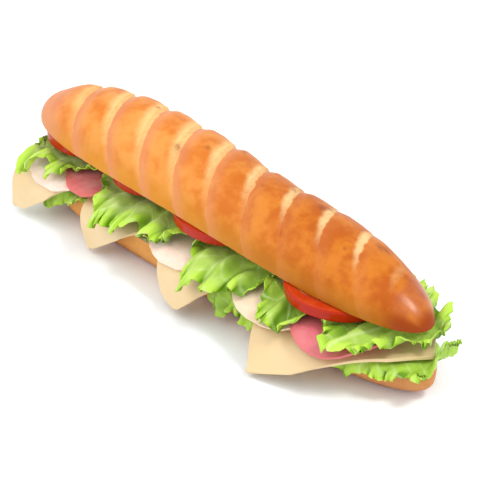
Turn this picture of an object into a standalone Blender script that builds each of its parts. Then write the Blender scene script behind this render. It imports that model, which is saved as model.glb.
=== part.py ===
"""A submarine sandwich: a scored loaf cut in two, filled with lettuce, cheese, ham, salami and tomato.

Metres, +Z up. X runs along the loaf, towards its narrow end. -Y is the side where the filling shows best.
The origin is on the table, under the middle of the sandwich's box.
"""

import math

import bmesh
import bpy
from mathutils import Vector

# Loaf
BLUNT_END = -0.155
NARROW_END = 0.144
BLUNT_END_POWER = 5.6
NARROW_END_POWER = 3.2
BLUNT_END_DROP = 0.17
BLUNT_END_DROPS_FROM = -0.070
BLUNT_END_DROPS_OVER = 0.060
TOP_HALF_WIDTH = 0.0288
TOP_RISE = 0.0285
TOP_CUT_HEIGHT = 0.048
TOP_CUT_ARCH = 0.0043
TOP_CUT_SLOPE = -0.018
CRUMB_DIP = 0.0004
BASE_BLUNT_END = -0.1475
BASE_NARROW_END = 0.1475
BASE_NARROW_POWER = 2.7
BASE_HALF_WIDTH = 0.0266
BASE_HEIGHT = 0.0206
BASE_SINK = 0.006
BASE_SIDE_POWER = 0.75
TOP_SEGMENTS = 24
BASE_SEGMENTS = 22
RING_SHARES = (0.995, 0.98, 0.955, 0.915)
NARROW_RING_SHARES = (0.82, 0.87, 0.91, 0.945, 0.97, 0.99)
BASE_RING_SHARES = (0.995, 0.98, 0.955, 0.92, 0.87, 0.80, 0.70, 0.57, 0.42, 0.25, 0.08)

# Scores across the top crust: swollen pieces of crust with a notch between them
SCORE_COUNT = 9
FIRST_SCORE = -0.1205
SCORE_PITCH = 0.0268
SCORE_SLANT = 0.0126
SLANT_FADE = 0.33
SCORE_SWELL = 0.0031
SCORE_SWELL_AT_NARROW_END = 0.0009
SWELL_FULL_AT = 0.32
SWELL_EASES_FROM = 0.55
SWELL_ENDS_AT = 0.92
SWELL_AT_NOTCH_EDGE = 0.68
SWELL_LESSENS_FROM = 0.010
SWELL_LESSENS_OVER = 0.075
SCORED_FROM = -0.148
SCORED_TO = 0.128
SCORES_RISE_OVER = 0.022
SCORES_FADE_OVER = 0.030
RELIEF_ENDS_AT = math.radians(78)
RELIEF_FADES_OVER = math.radians(38)
PHASES_OF_RINGS = (0.0, 0.17, SWELL_FULL_AT, SWELL_EASES_FROM, SWELL_ENDS_AT)
# Broad dips of the crown: middle, half length and depth
CROWN_DIPS = ((0.026, 0.038, 0.0036), (-0.055, 0.030, 0.0006))

# Flat stack, as heights over the underside of the lowest cheese
SHELF_HEIGHT = 0.026
SHELF_HALF_WIDTH = 0.025
SHELF_NARROWS_FROM = 0.055
SHELF_NARROWING = 0.012
SHELF_NARROWING_LENGTH = 0.095
TABLE_CLEARANCE = 0.0008
CHEESE_THICKNESS = 0.0022
HAM_THICKNESS = 0.0018
LEAF_THICKNESS = 0.0011
TOMATO_THICKNESS = 0.0065
GAP = 0.0004
LOWER_LEAF_LEVEL = -0.0028
LOW_CHEESE_LEVEL = 0.0
HIGH_CHEESE_LEVEL = LOW_CHEESE_LEVEL + CHEESE_THICKNESS + GAP
HAM_LEVEL = HIGH_CHEESE_LEVEL + CHEESE_THICKNESS + GAP
SALAMI_LEVEL = HAM_LEVEL + HAM_THICKNESS + GAP
UPPER_LEAF_RISE = 0.0022
UPPER_LEAF_LEVEL = SALAMI_LEVEL + HAM_THICKNESS + GAP + UPPER_LEAF_RISE

# Drape of the filling over the edge of the lower half
FRONT_BEND_START_X = -0.085
FRONT_BEND_END_X = 0.075
FRONT_BEND_POWER = 1.6
FRONT_BEND_RADII = (0.0085, 0.0240)
FRONT_FALL_ANGLES = (math.radians(86), math.radians(60))
FRONT_FLARE_RADII = (0.004, 0.011)
BACK_BEND_RADIUS = 0.014
BACK_FALL_ANGLE = math.radians(80)
BACK_FLARE_RADIUS = 0.008
COLUMN_STEP = 0.011
ROW_STEPS = (0.0, 0.003, 0.0065, 0.0105, 0.015, 0.020, 0.026, 0.033, 0.041, 0.050)
INNER_ROW = 0.012
SLIVER = 0.0008

# Outlines of the cheese slices in the flat stack, anticlockwise from the corner that hangs in front
CHEESE_SLICES = (
    (
        ((-0.1455, -0.0572), (-0.088, -0.014), (-0.118, 0.064), (-0.147, 0.044), (-0.1475, -0.025)),
        HIGH_CHEESE_LEVEL,
    ),
    (
        (
            (-0.084, -0.0545),
            (-0.016, -0.0035),
            (-0.067, 0.065),
            (-0.094, 0.034),
            (-0.0945, -0.024),
            (-0.0905, -0.042),
        ),
        LOW_CHEESE_LEVEL,
    ),
    (
        (
            (-0.006, -0.0575),
            (0.058, 0.000),
            (0.0005, 0.064),
            (-0.028, 0.030),
            (-0.027, -0.032),
            (-0.018, -0.049),
        ),
        HIGH_CHEESE_LEVEL,
    ),
    (
        (
            (0.0625, -0.065),
            (0.088, -0.053),
            (0.108, -0.037),
            (0.130, -0.0175),
            (0.1455, 0.0025),
            (0.089, 0.0702),
            (0.048, 0.036),
            (0.046, -0.022),
        ),
        LOW_CHEESE_LEVEL,
    ),
)

# Meat: centre and radius of each slice
HAM_SLICES = (
    ((-0.121, -0.0035), 0.029),
    ((-0.016, -0.0045), 0.031),
    ((0.055, -0.006), 0.034),
)
SALAMI_SLICES = (
    ((-0.098, 0.0015), 0.031),
    ((0.095, -0.0075), 0.0315),
)
HAM_CORNER_POWER = 2.4
OUTLINE_SIDES = 22

# Tomato: centre and radius of each slice
TOMATO_SLICES = (
    ((-0.1215, 0.0020), 0.026),
    ((-0.066, 0.0005), 0.0265),
    ((-0.008, -0.0005), 0.0305),
    ((0.081, -0.002), 0.032),
)
TOMATO_SIDES = 26
TOMATO_SKIN_BEVEL = 0.0016

# Lettuce: the wave of its edges
RUFFLE_LENGTH = 0.0150
RUFFLE_DRIFT = 1.1
RUFFLE_DRIFT_LENGTH = 0.021
RUFFLE_SKEW = 45.0
SMALL_RUFFLE = 0.35
SMALL_RUFFLE_RATE = 1.7
LEAF_CORNER_POWER = 8
LEAF_END_WIDTH = 0.72

# Upper lettuce: where each leaf starts and ends, how far it reaches in front, and its two front corners,
# each as the share of that reach at the leaf's end and the length over which it grows to the whole
UPPER_LEAVES = (
    (-0.1445, -0.0980, 0.0310, (0.84, 0.010), (0.62, 0.016)),
    (-0.0965, -0.0165, 0.0320, (0.54, 0.026), (0.94, 0.006)),
    (-0.0150, 0.0455, 0.0370, (0.56, 0.020), (0.85, 0.008)),
    (0.0470, 0.0825, 0.0365, (0.80, 0.018), (0.88, 0.008)),
    (0.0855, 0.1455, 0.0335, (0.64, 0.018), (1.00, 0.008)),
)
UPPER_LEAF_ROWS = (-1.0, -0.87, -0.70, -0.45, 0.0, 0.45, 0.70, 0.87, 1.0)
UPPER_LEAF_STEP = 0.0038
UPPER_BACK_REACH = 0.0325
UPPER_REACH_SWING = 0.0016
UPPER_REACH_SWING_LENGTH = 0.0125
UPPER_SWELL = 0.0030
UPPER_INNER_SWELL = 0.0015
UPPER_SWELL_OFFSET = 0.45
UPPER_SWELLS_FROM = 0.012
UPPER_SWELLS_OVER = 0.020
UPPER_PAST_LOAF = (0.0035, 0.0105)
UPPER_TIP_REACH = (0.0175, 0.0040)
UPPER_TIP_FROM = 0.124
UPPER_TIP_OVER = 0.020
UPPER_END_FROM = 0.128
UPPER_END_OVER = 0.016
UPPER_END_WAVE_LENGTH = 0.0026
UPPER_END_WAVE_START = 0.6
UPPER_END_SINK = 0.0030
UPPER_CURL = 0.006
UPPER_CURL_FROM = 0.118
UPPER_CURL_OVER = 0.010
UPPER_CURL_SPREAD = (0.001, 0.006)

# Lower lettuce: where each leaf starts and ends, and its hanging tongues as middle, half length and reach
LOWER_LEAVES = ((-0.146, -0.062), (-0.0605, 0.0820), (0.0835, 0.1515))
LOWER_TONGUES = ((-0.126, 0.022, 0.0150), (0.017, 0.012, 0.0220), (0.042, 0.011, 0.0200))
LOWER_LEAF_ROWS = (-1.0, -0.86, -0.73, -0.62, -0.51, -0.28, 0.28, 0.51, 0.66, 0.82, 1.0)
LOWER_LEAF_STEP = 0.0042
LOWER_REACH = 0.0270
LOWER_END_HANG = (0.0195, 0.0105)
LOWER_END_HANGS_FROM = 0.095
LOWER_END_HANGS_OVER = 0.045
LOWER_END_FROM = 0.090
LOWER_END_OVER = 0.012
LOWER_BACK_AT_TIP = 0.55
LOWER_SWELL = 0.0020
LOWER_INNER_SWELL = 0.0005
LOWER_SWELLS_OVER = 0.009
LOWER_WAVE_SHIFT = 0.004
LOWER_TIP_FROM = 0.140
LOWER_TIP_OVER = 0.010
LOWER_TIP_WAVE_LENGTH = 0.0028
LOWER_CURL = 0.013
LOWER_CURL_FROM = 0.1455
LOWER_CURL_OVER = 0.0055
LOWER_CURL_SPREAD = (-0.008, 0.013)
LOWER_SHELF_HALF_WIDTH = 0.0254
LOWER_SHELF_AT_END = 0.009
LOWER_BEND_RADIUS = 0.0080
LOWER_FALL_ANGLE = math.radians(75)

# Colours: base colour, roughness
CRUST = ((0.72, 0.33, 0.09), 0.42)
LETTUCE = ((0.36, 0.62, 0.08), 0.45)
CHEESE = ((0.90, 0.72, 0.42), 0.50)
HAM = ((0.86, 0.62, 0.52), 0.45)
SALAMI = ((0.72, 0.24, 0.24), 0.40)
TOMATO = ((0.72, 0.07, 0.03), 0.25)


def smooth_step(value):
    """0 below 0, 1 above 1, and a smooth rise between."""
    value = min(max(value, 0.0), 1.0)
    return value * value * (3.0 - 2.0 * value)


def mix(pair, share):
    return pair[0] + (pair[1] - pair[0]) * share


def make_material(name, finish):
    colour, roughness = finish
    material = bpy.data.materials.new(name)
    material.use_nodes = True
    shader = material.node_tree.nodes["Principled BSDF"]
    shader.inputs["Base Color"].default_value = (*colour, 1.0)
    shader.inputs["Roughness"].default_value = roughness
    shader.inputs["Metallic"].default_value = 0.0
    return material


def add_object(name, bm, material):
    """Makes an object of the finished mesh, with smooth faces and its faces pointing out."""
    bmesh.ops.recalc_face_normals(bm, faces=bm.faces[:])
    mesh = bpy.data.meshes.new(name)
    bm.to_mesh(mesh)
    bm.free()
    mesh.shade_smooth()
    mesh.set_sharp_from_angle(angle=math.radians(40))
    mesh.materials.append(material)
    obj = bpy.data.objects.new(name, mesh)
    bpy.context.scene.collection.objects.link(obj)
    return obj


# Loaf


def end_taper(share, narrow_power):
    """Width of the loaf as a share of its full width, where share runs from -1 to 1 along it."""
    power = BLUNT_END_POWER if share < 0 else narrow_power
    return math.sqrt(max(0.0, 1.0 - min(abs(share), 1.0) ** power))


def top_share(x):
    return x / (NARROW_END if x > 0 else -BLUNT_END)


def top_taper(x):
    return end_taper(top_share(x), NARROW_END_POWER)


def base_taper(x):
    return end_taper(x / BASE_NARROW_END, BASE_NARROW_POWER)


def top_cut_height(x):
    """Height of the cut face of the upper half."""
    return TOP_CUT_HEIGHT + TOP_CUT_SLOPE * x + TOP_CUT_ARCH * (1.0 - top_share(x) ** 2)


def top_rise(x):
    """Height of the crown over the cut face, lower towards the blunt end."""
    return TOP_RISE * (1.0 - BLUNT_END_DROP * smooth_step((BLUNT_END_DROPS_FROM - x) / BLUNT_END_DROPS_OVER))


def score_phase(x):
    """Where x lies between two notches: 0 at one, up to 1 at the next."""
    phase = (x - FIRST_SCORE) / SCORE_PITCH
    return phase - math.floor(phase)


def swell(phase):
    """Rise of a piece of crust: quick, then level, then an easy fall that ends at the next notch."""
    if phase > SWELL_ENDS_AT:
        return SWELL_AT_NOTCH_EDGE * (1.0 - phase) / (1.0 - SWELL_ENDS_AT)
    ease = (1.0 - SWELL_AT_NOTCH_EDGE) * smooth_step(
        (phase - SWELL_EASES_FROM) / (SWELL_ENDS_AT - SWELL_EASES_FROM)
    )
    return smooth_step(phase / SWELL_FULL_AT) - ease


def crust_relief(x, angle):
    """Height of the crust over the plain loaf, at an angle from the crown."""
    lessening = smooth_step((x - SWELL_LESSENS_FROM) / SWELL_LESSENS_OVER)
    height = mix((SCORE_SWELL, SCORE_SWELL_AT_NARROW_END), lessening)
    height *= smooth_step((x - SCORED_FROM) / SCORES_RISE_OVER)
    height *= smooth_step((SCORED_TO - x) / SCORES_FADE_OVER)
    dips = sum(depth * math.exp(-(((x - middle) / width) ** 2)) for middle, width, depth in CROWN_DIPS)
    around = smooth_step((RELIEF_ENDS_AT - abs(angle)) / RELIEF_FADES_OVER)
    return (height * swell(score_phase(x)) - dips) * around


def top_stations():
    """Places along the loaf of the rings of the upper half, closer at each notch and at both ends."""
    blunt = [BLUNT_END * share for share in RING_SHARES]
    scored = [
        FIRST_SCORE + SCORE_PITCH * (index + phase)
        for index in range(SCORE_COUNT)
        for phase in PHASES_OF_RINGS
    ]
    narrow = [NARROW_END * share for share in NARROW_RING_SHARES]
    return [x for x in blunt + scored if x < narrow[0] - SLIVER] + narrow


def loaf_shell(stations, segments, place):
    """A closed skin round the loaf: one ring for each station, and a pole at each end."""
    bm = bmesh.new()
    rings = len(stations) + 1
    bmesh.ops.create_uvsphere(bm, u_segments=segments, v_segments=rings, radius=1.0)
    for vert in bm.verts:
        ring = round(math.acos(max(-1.0, min(1.0, vert.co.z))) / math.pi * rings)
        turn = math.atan2(vert.co.y, vert.co.x)
        vert.co = place(ring, turn)
    return bm


def make_top_bun(material):
    stations = top_stations()

    def place(ring, turn):
        if ring in (0, len(stations) + 1):
            x = BLUNT_END if ring == 0 else NARROW_END
            return Vector((x, 0.0, top_cut_height(x)))
        station = stations[ring - 1]
        on_crust = turn >= 0.0
        angle = math.pi / 2 - turn if on_crust else math.pi / 2 + turn
        slant = smooth_step((1.0 - abs(top_share(station))) / SLANT_FADE)
        x = station + SCORE_SLANT * angle * slant
        taper = top_taper(x)
        relief = crust_relief(station, angle) * on_crust
        rise = top_rise(x) + relief if on_crust else CRUMB_DIP
        y = -(TOP_HALF_WIDTH + relief) * taper * math.cos(turn)
        return Vector((x, y, top_cut_height(x) + rise * taper * math.sin(turn) * (1 if on_crust else -1)))

    return add_object("top_bun", loaf_shell(stations, TOP_SEGMENTS, place), material)


def make_bottom_bun(material):
    stations = [BASE_BLUNT_END * share for share in BASE_RING_SHARES]
    stations += [BASE_NARROW_END * share for share in reversed(BASE_RING_SHARES)]

    def place(ring, turn):
        if ring in (0, len(stations) + 1):
            return Vector((BASE_BLUNT_END if ring == 0 else BASE_NARROW_END, 0.0, BASE_HEIGHT))
        x = stations[ring - 1]
        taper = base_taper(x)
        depth = (BASE_HEIGHT + BASE_SINK) * abs(math.sin(turn)) ** BASE_SIDE_POWER * math.sqrt(taper)
        z = BASE_HEIGHT if turn >= 0.0 else max(0.0, BASE_HEIGHT - depth)
        return Vector((x, -BASE_HALF_WIDTH * taper * math.cos(turn), z))

    return add_object("bottom_bun", loaf_shell(stations, BASE_SEGMENTS, place), material)


# Filling


def filling_edge(x, across):
    """Half width of the flat part, radius of the bend, steepest fall, and radius of the flare."""
    narrowing = max((x - SHELF_NARROWS_FROM) / SHELF_NARROWING_LENGTH, 0.0)
    shelf = SHELF_HALF_WIDTH - SHELF_NARROWING * narrowing**2
    if across > 0:
        return shelf, BACK_BEND_RADIUS, BACK_FALL_ANGLE, BACK_FLARE_RADIUS
    share = smooth_step((x - FRONT_BEND_START_X) / (FRONT_BEND_END_X - FRONT_BEND_START_X))
    share = share**FRONT_BEND_POWER
    return shelf, mix(FRONT_BEND_RADII, share), mix(FRONT_FALL_ANGLES, share), mix(FRONT_FLARE_RADII, share)


def lower_leaf_edge(x, across):
    """The same for the lower lettuce, which clings to the edge of the bread."""
    shelf = max(LOWER_SHELF_HALF_WIDTH * base_taper(x), LOWER_SHELF_AT_END)
    return shelf, LOWER_BEND_RADIUS, LOWER_FALL_ANGLE, FRONT_FLARE_RADII[0]


def drape(point, edge_at=filling_edge):
    """Carries a point of the flat stack over the edge of the lower half.

    The stack bends down in an arc, falls straight, and flares out where it meets the table. A point
    keeps its distance from the lowest cheese, so that layers apart in the flat stack stay apart."""
    x, across, height = point
    shelf, radius, fall, flare = edge_at(x, across)
    beyond = abs(across) - shelf
    if beyond <= 0:
        return Vector((x, across, SHELF_HEIGHT + height))
    drop = SHELF_HEIGHT - TABLE_CLEARANCE
    straight = (drop - (radius + flare) * (1 - math.cos(fall))) / math.sin(fall)
    after_arc = beyond - radius * fall
    after_fall = after_arc - straight
    turn = min(beyond / radius, fall)
    out = radius * math.sin(turn)
    down = radius * (1 - math.cos(turn))
    if after_arc > 0:
        out += min(after_arc, straight) * math.cos(fall)
        down += min(after_arc, straight) * math.sin(fall)
    if after_fall > 0:
        turn = max(fall - after_fall / flare, 0.0)
        out += flare * (math.sin(fall) - math.sin(turn)) + max(after_fall - flare * fall, 0.0)
        down += flare * (math.cos(turn) - math.cos(fall))
    out += height * math.sin(turn)
    z = SHELF_HEIGHT - down + height * math.cos(turn)
    return Vector((x, math.copysign(shelf + out, across), z))


def flat_grid(columns, rows):
    """A flat sheet with its points on the given columns along X and rows along Y."""
    bm = bmesh.new()
    bmesh.ops.create_grid(bm, x_segments=len(columns) - 1, y_segments=len(rows) - 1, size=0.5)
    for vert in bm.verts:
        column = round((vert.co.x + 0.5) * (len(columns) - 1))
        row = round((vert.co.y + 0.5) * (len(rows) - 1))
        vert.co = (columns[column], rows[row], 0.0)
    return bm


def even_steps(start, end, step):
    count = max(1, round((end - start) / step))
    return [start + (end - start) * index / count for index in range(count + 1)]


def drape_rows():
    """Rows of every draped slice, the same for all, so that their facets stay parallel."""
    outer = [SHELF_HALF_WIDTH + step for step in ROW_STEPS]
    side = [INNER_ROW, *outer]
    return [-y for y in reversed(side)] + side


def trim(bm, outline):
    """Cuts a flat sheet along each side of a convex outline that runs anticlockwise."""
    for start, end in zip(outline, outline[1:] + outline[:1]):
        side = end - start
        everything = bm.verts[:] + bm.edges[:] + bm.faces[:]
        outwards = Vector((side.y, -side.x, 0.0))
        bmesh.ops.bisect_plane(
            bm, geom=everything, plane_co=start, plane_no=outwards, clear_outer=True, dist=1e-5
        )
    bmesh.ops.remove_doubles(bm, verts=bm.verts[:], dist=SLIVER)


def thicken(bm, level, thickness):
    """Makes a closed slab of a flat sheet, with both of its faces split into the same triangles."""
    bmesh.ops.triangulate(bm, faces=bm.faces[:])
    sheet = bm.faces[:]
    bmesh.ops.solidify(bm, geom=sheet, thickness=thickness)
    lowest = min(vert.co.z for vert in bm.verts)
    bmesh.ops.translate(bm, verts=bm.verts[:], vec=(0.0, 0.0, level - lowest))


def make_slice(name, outline, level, thickness, material):
    """A slice of that outline, laid on the stack at that level and draped."""
    xs = [corner.x for corner in outline]
    bm = flat_grid(even_steps(min(xs), max(xs), COLUMN_STEP), drape_rows())
    trim(bm, outline)
    thicken(bm, level, thickness)
    for vert in bm.verts:
        vert.co = drape(vert.co)
    return add_object(name, bm, material)


def round_outline(centre, radius, power):
    """A round slice; a power over 2 makes it squarer."""
    outline = []
    for index in range(OUTLINE_SIDES):
        turn = math.tau * (index + 0.5) / OUTLINE_SIDES
        spread = (abs(math.cos(turn)) ** power + abs(math.sin(turn)) ** power) ** (-1.0 / power)
        outline.append(
            Vector(
                (
                    centre[0] + radius * spread * math.cos(turn),
                    centre[1] + radius * spread * math.sin(turn),
                    0.0,
                )
            )
        )
    return outline


def make_cheese(material):
    for number, (corners, level) in enumerate(CHEESE_SLICES, start=1):
        outline = [Vector((x, y, 0.0)) for x, y in corners]
        make_slice(f"cheese_slice_{number}", outline, level, CHEESE_THICKNESS, material)


def make_meat(ham, salami):
    for number, (centre, radius) in enumerate(HAM_SLICES, start=1):
        outline = round_outline(centre, radius, HAM_CORNER_POWER)
        make_slice(f"ham_slice_{number}", outline, HAM_LEVEL, HAM_THICKNESS, ham)
    for number, (centre, radius) in enumerate(SALAMI_SLICES, start=1):
        outline = round_outline(centre, radius, 2.0)
        make_slice(f"salami_slice_{number}", outline, SALAMI_LEVEL, HAM_THICKNESS, salami)


def make_tomatoes(material):
    """Round slices that lie under the cut face of the upper half and follow its slope."""
    for number, ((x, y), radius) in enumerate(TOMATO_SLICES, start=1):
        bm = bmesh.new()
        bmesh.ops.create_cone(
            bm,
            cap_ends=True,
            segments=TOMATO_SIDES,
            radius1=radius,
            radius2=radius,
            depth=TOMATO_THICKNESS,
        )
        rims = [edge for edge in bm.edges if abs(edge.verts[0].co.z - edge.verts[1].co.z) < 1e-6]
        bmesh.ops.bevel(
            bm,
            geom=rims,
            offset=TOMATO_SKIN_BEVEL,
            segments=1,
            profile=0.5,
            affect="EDGES",
            material=-1,
        )
        tomato = add_object(f"tomato_slice_{number}", bm, material)
        slope = (top_cut_height(x + radius) - top_cut_height(x - radius)) / (2 * radius)
        middle = top_cut_height(x) - CRUMB_DIP - GAP - TOMATO_THICKNESS / 2
        tomato.location = (x, y, middle)
        tomato.rotation_euler = (0.0, -math.atan(slope), 0.0)


def ruffle(x, across):
    """The wave of a leaf's edge, from -1 to 1, uneven along the leaf."""
    drift = RUFFLE_DRIFT * math.sin(x / RUFFLE_DRIFT_LENGTH)
    swing = math.tau * x / RUFFLE_LENGTH + drift + RUFFLE_SKEW * across
    return (math.sin(swing) + SMALL_RUFFLE * math.sin(SMALL_RUFFLE_RATE * swing + 1.0)) / (1.0 + SMALL_RUFFLE)


def lobe(share):
    """Roundness of a leaf towards its two ends, for a share from 0 to 1 along it."""
    return mix((1.0, LEAF_END_WIDTH), abs(2.0 * share - 1.0) ** LEAF_CORNER_POWER)


def make_leaf(name, columns, rows, reach_at, height_at, edge_at, material):
    """A leaf across the loaf: its rows spread to the reach at each place, at the height given there."""
    bm = flat_grid(columns, rows)
    thicken(bm, -LEAF_THICKNESS / 2, LEAF_THICKNESS)
    for vert in bm.verts:
        x, row, through = vert.co
        share = (x - columns[0]) / (columns[-1] - columns[0])
        across = row * reach_at(x, row < 0) * lobe(share)
        vert.co = drape((x, across, height_at(x, across) + through), edge_at)
    return add_object(name, bm, material)


def upper_reach(x, in_front, leaf):
    """How far an upper leaf reaches from the middle of the loaf; it narrows with the loaf at its tip."""
    start, end, front_reach, start_corner, end_corner = leaf
    reach = front_reach if in_front else UPPER_BACK_REACH
    reach += UPPER_REACH_SWING * math.cos(x / UPPER_REACH_SWING_LENGTH)
    if in_front:
        reach *= mix((start_corner[0], 1.0), smooth_step((x - start) / start_corner[1]))
        reach *= mix((end_corner[0], 1.0), smooth_step((end - x) / end_corner[1]))
    past_loaf = TOP_HALF_WIDTH * top_taper(max(x, 0.0)) + UPPER_PAST_LOAF[in_front]
    at_tip = smooth_step((x - UPPER_TIP_FROM) / UPPER_TIP_OVER)
    return min(reach, mix((past_loaf, UPPER_TIP_REACH[in_front]), at_tip))


def upper_height(x, across):
    """Height of an upper leaf: it swells towards its edges, and curls up behind the narrow tip."""
    edge = smooth_step((abs(across) - UPPER_SWELLS_FROM) / UPPER_SWELLS_OVER)
    end = smooth_step((x - UPPER_END_FROM) / UPPER_END_OVER)
    end_wave = math.sin(across / UPPER_END_WAVE_LENGTH + UPPER_END_WAVE_START)
    wave = mix((ruffle(x, across), end_wave), end)
    height = mix((UPPER_INNER_SWELL, UPPER_SWELL), max(edge, end)) * (wave + UPPER_SWELL_OFFSET)
    past_loaf = across - TOP_HALF_WIDTH * top_taper(x) - UPPER_CURL_SPREAD[0]
    curl = smooth_step((x - UPPER_CURL_FROM) / UPPER_CURL_OVER)
    curl *= smooth_step(past_loaf / UPPER_CURL_SPREAD[1])
    return UPPER_LEAF_LEVEL + height - UPPER_END_SINK * end + UPPER_CURL * curl


def make_upper_lettuce(material):
    for number, leaf in enumerate(UPPER_LEAVES, start=1):

        def reach_at(x, in_front, leaf=leaf):
            return upper_reach(x, in_front, leaf)

        columns = even_steps(leaf[0], leaf[1], UPPER_LEAF_STEP)
        name = f"lettuce_upper_{number}"
        make_leaf(name, columns, UPPER_LEAF_ROWS, reach_at, upper_height, filling_edge, material)


def lower_reach(x, in_front):
    """How far a lower leaf reaches from the middle of the loaf, with its tongues in front."""
    tongues = sum(
        length * math.exp(-(((x - middle) / width) ** 2)) for middle, width, length in LOWER_TONGUES
    )
    hang = mix(LOWER_END_HANG, smooth_step((x - LOWER_END_HANGS_FROM) / LOWER_END_HANGS_OVER))
    if not in_front:
        hang *= mix((1.0, LOWER_BACK_AT_TIP), smooth_step((x - LOWER_TIP_FROM) / LOWER_TIP_OVER))
    hanging = lower_leaf_edge(x, 0.0)[0] + hang
    reach = mix((LOWER_REACH, hanging), smooth_step((x - LOWER_END_FROM) / LOWER_END_OVER))
    return reach + tongues * in_front


def lower_height(x, across):
    """Height of a lower leaf: it swells past the bread, and curls up behind the narrow tip."""
    past_bun = smooth_step((abs(across) - lower_leaf_edge(x, 0.0)[0]) / LOWER_SWELLS_OVER)
    tip = smooth_step((x - LOWER_TIP_FROM) / LOWER_TIP_OVER)
    wave = mix((ruffle(x + LOWER_WAVE_SHIFT, across), math.sin(across / LOWER_TIP_WAVE_LENGTH)), tip)
    height = mix((LOWER_INNER_SWELL, LOWER_SWELL), max(past_bun, tip)) * wave
    curl = smooth_step((x - LOWER_CURL_FROM) / LOWER_CURL_OVER)
    curl *= smooth_step((across - LOWER_CURL_SPREAD[0]) / LOWER_CURL_SPREAD[1])
    return LOWER_LEAF_LEVEL + height + LOWER_CURL * curl


def make_lower_lettuce(material):
    for number, ends in enumerate(LOWER_LEAVES, start=1):
        columns = even_steps(*ends, LOWER_LEAF_STEP)
        name = f"lettuce_lower_{number}"
        make_leaf(name, columns, LOWER_LEAF_ROWS, lower_reach, lower_height, lower_leaf_edge, material)


def centre_on_origin():
    """Moves the sandwich along X and Y so that the middle of its box is over the origin."""
    bpy.context.view_layer.update()
    parts = bpy.context.scene.objects[:]
    corners = [part.matrix_world @ Vector(corner) for part in parts for corner in part.bound_box]
    middle = Vector([(min(side) + max(side)) / 2 for side in zip(*corners)])
    for part in parts:
        part.location -= Vector((middle.x, middle.y, 0.0))


def clear_scene():
    for obj in list(bpy.data.objects):
        bpy.data.objects.remove(obj, do_unlink=True)


def main():
    clear_scene()
    crust = make_material("crust", CRUST)
    lettuce = make_material("lettuce", LETTUCE)
    make_top_bun(crust)
    make_bottom_bun(crust)
    make_lower_lettuce(lettuce)
    make_cheese(make_material("cheese", CHEESE))
    make_meat(make_material("ham", HAM), make_material("salami", SALAMI))
    make_upper_lettuce(lettuce)
    make_tomatoes(make_material("tomato", TOMATO))
    centre_on_origin()


main()
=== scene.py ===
"""Dresses the submarine sandwich: a scored loaf with lettuce, cheese, ham, salami and tomato.

Metres, in the frame of the CAD model. Every piece takes the place of the CAD node of its own shape.
"""

import math

import bmesh
import bpy
from bpy.props import FloatProperty, FloatVectorProperty, PointerProperty
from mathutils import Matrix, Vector, noise


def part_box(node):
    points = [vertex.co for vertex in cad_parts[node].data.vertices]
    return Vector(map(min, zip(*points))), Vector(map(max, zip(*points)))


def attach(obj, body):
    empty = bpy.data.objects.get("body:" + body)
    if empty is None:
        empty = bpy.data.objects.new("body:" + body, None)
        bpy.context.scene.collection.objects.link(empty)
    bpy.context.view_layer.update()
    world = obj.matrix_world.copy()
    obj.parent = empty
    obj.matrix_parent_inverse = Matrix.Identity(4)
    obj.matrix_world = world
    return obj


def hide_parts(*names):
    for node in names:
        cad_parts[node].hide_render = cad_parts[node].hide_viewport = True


bl_info = {
    "name": "Submarine sandwich",
    "version": (1, 0, 0),
    "blender": (4, 5, 0),
    "location": "3D View > Sidebar > Sandwich",
    "description": "Dresses a submarine sandwich, one button for each filling and one for the loaf",
    "category": "Add Mesh",
}

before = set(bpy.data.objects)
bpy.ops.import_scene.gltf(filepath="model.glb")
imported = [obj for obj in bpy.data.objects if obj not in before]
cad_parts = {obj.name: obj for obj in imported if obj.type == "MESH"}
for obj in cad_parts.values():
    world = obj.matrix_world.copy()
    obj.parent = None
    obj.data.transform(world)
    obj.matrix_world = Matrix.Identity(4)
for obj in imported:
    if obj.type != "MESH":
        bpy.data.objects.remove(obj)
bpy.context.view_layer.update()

# Pairs that rise() or fall() takes are a place and the length over which the change runs

# Loaf
BLUNT_END = -0.155
NARROW_END = 0.144
BLUNT_END_POWER = 5.6
NARROW_END_POWER = 3.2
BLUNT_END_DROP = 0.17
BLUNT_END_DROPS = (-0.070, 0.060)
TOP_HALF_WIDTH = 0.0288
TOP_RISE = 0.0285
TOP_CUT_HEIGHT = 0.048
TOP_CUT_ARCH = 0.0043
TOP_CUT_SLOPE = -0.018
CRUMB_DIP = 0.0004
BASE_BLUNT_END = -0.1475
BASE_NARROW_END = 0.1475
BASE_NARROW_POWER = 2.7
BASE_HALF_WIDTH = 0.0266
BASE_HEIGHT = 0.0206
BASE_SINK = 0.006
BASE_SIDE_POWER = 0.75
BASE_DIMPLE = 0.00025
BASE_LOW = (0.010, 0.010)
BASE_BLUSH = (0.0, 0.100)
BASE_BROWN = (0.100, 0.040)
LOAF_SEGMENTS = 144
CRUST_SEGMENTS = 100
RING_STEP = 0.00085
RING_STEP_AT_NOTCH = 0.0005
END_SHARES = (0.9999, 0.9996, 0.999, 0.998, 0.9965, 0.9945, 0.992, 0.989, 0.985, 0.980, 0.975, 0.970)

# Attributes that the bread's material reads, and their values where they are the same all over
BREAD_MARKS = ("cream", "shade_blush", "bake", "tan", "brown_and_shade", "spots", "crumb")
BLUNT_TIP_MARKS = (0.0, 0.6, 0.0, 0.6, 0.0, 0.0, 0.0)
NARROW_TIP_MARKS = (0.0, 0.0, 1.0, 0.6, 1.0, 0.0, 0.0)
BASE_TIP_MARKS = (0.0, 0.3, 0.3, 0.4, 0.0, 0.0, 0.5)
CRUMB_MARKS = (0.0, 0.0, 0.0, 0.0, 0.0, 0.0, 1.0)

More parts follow.
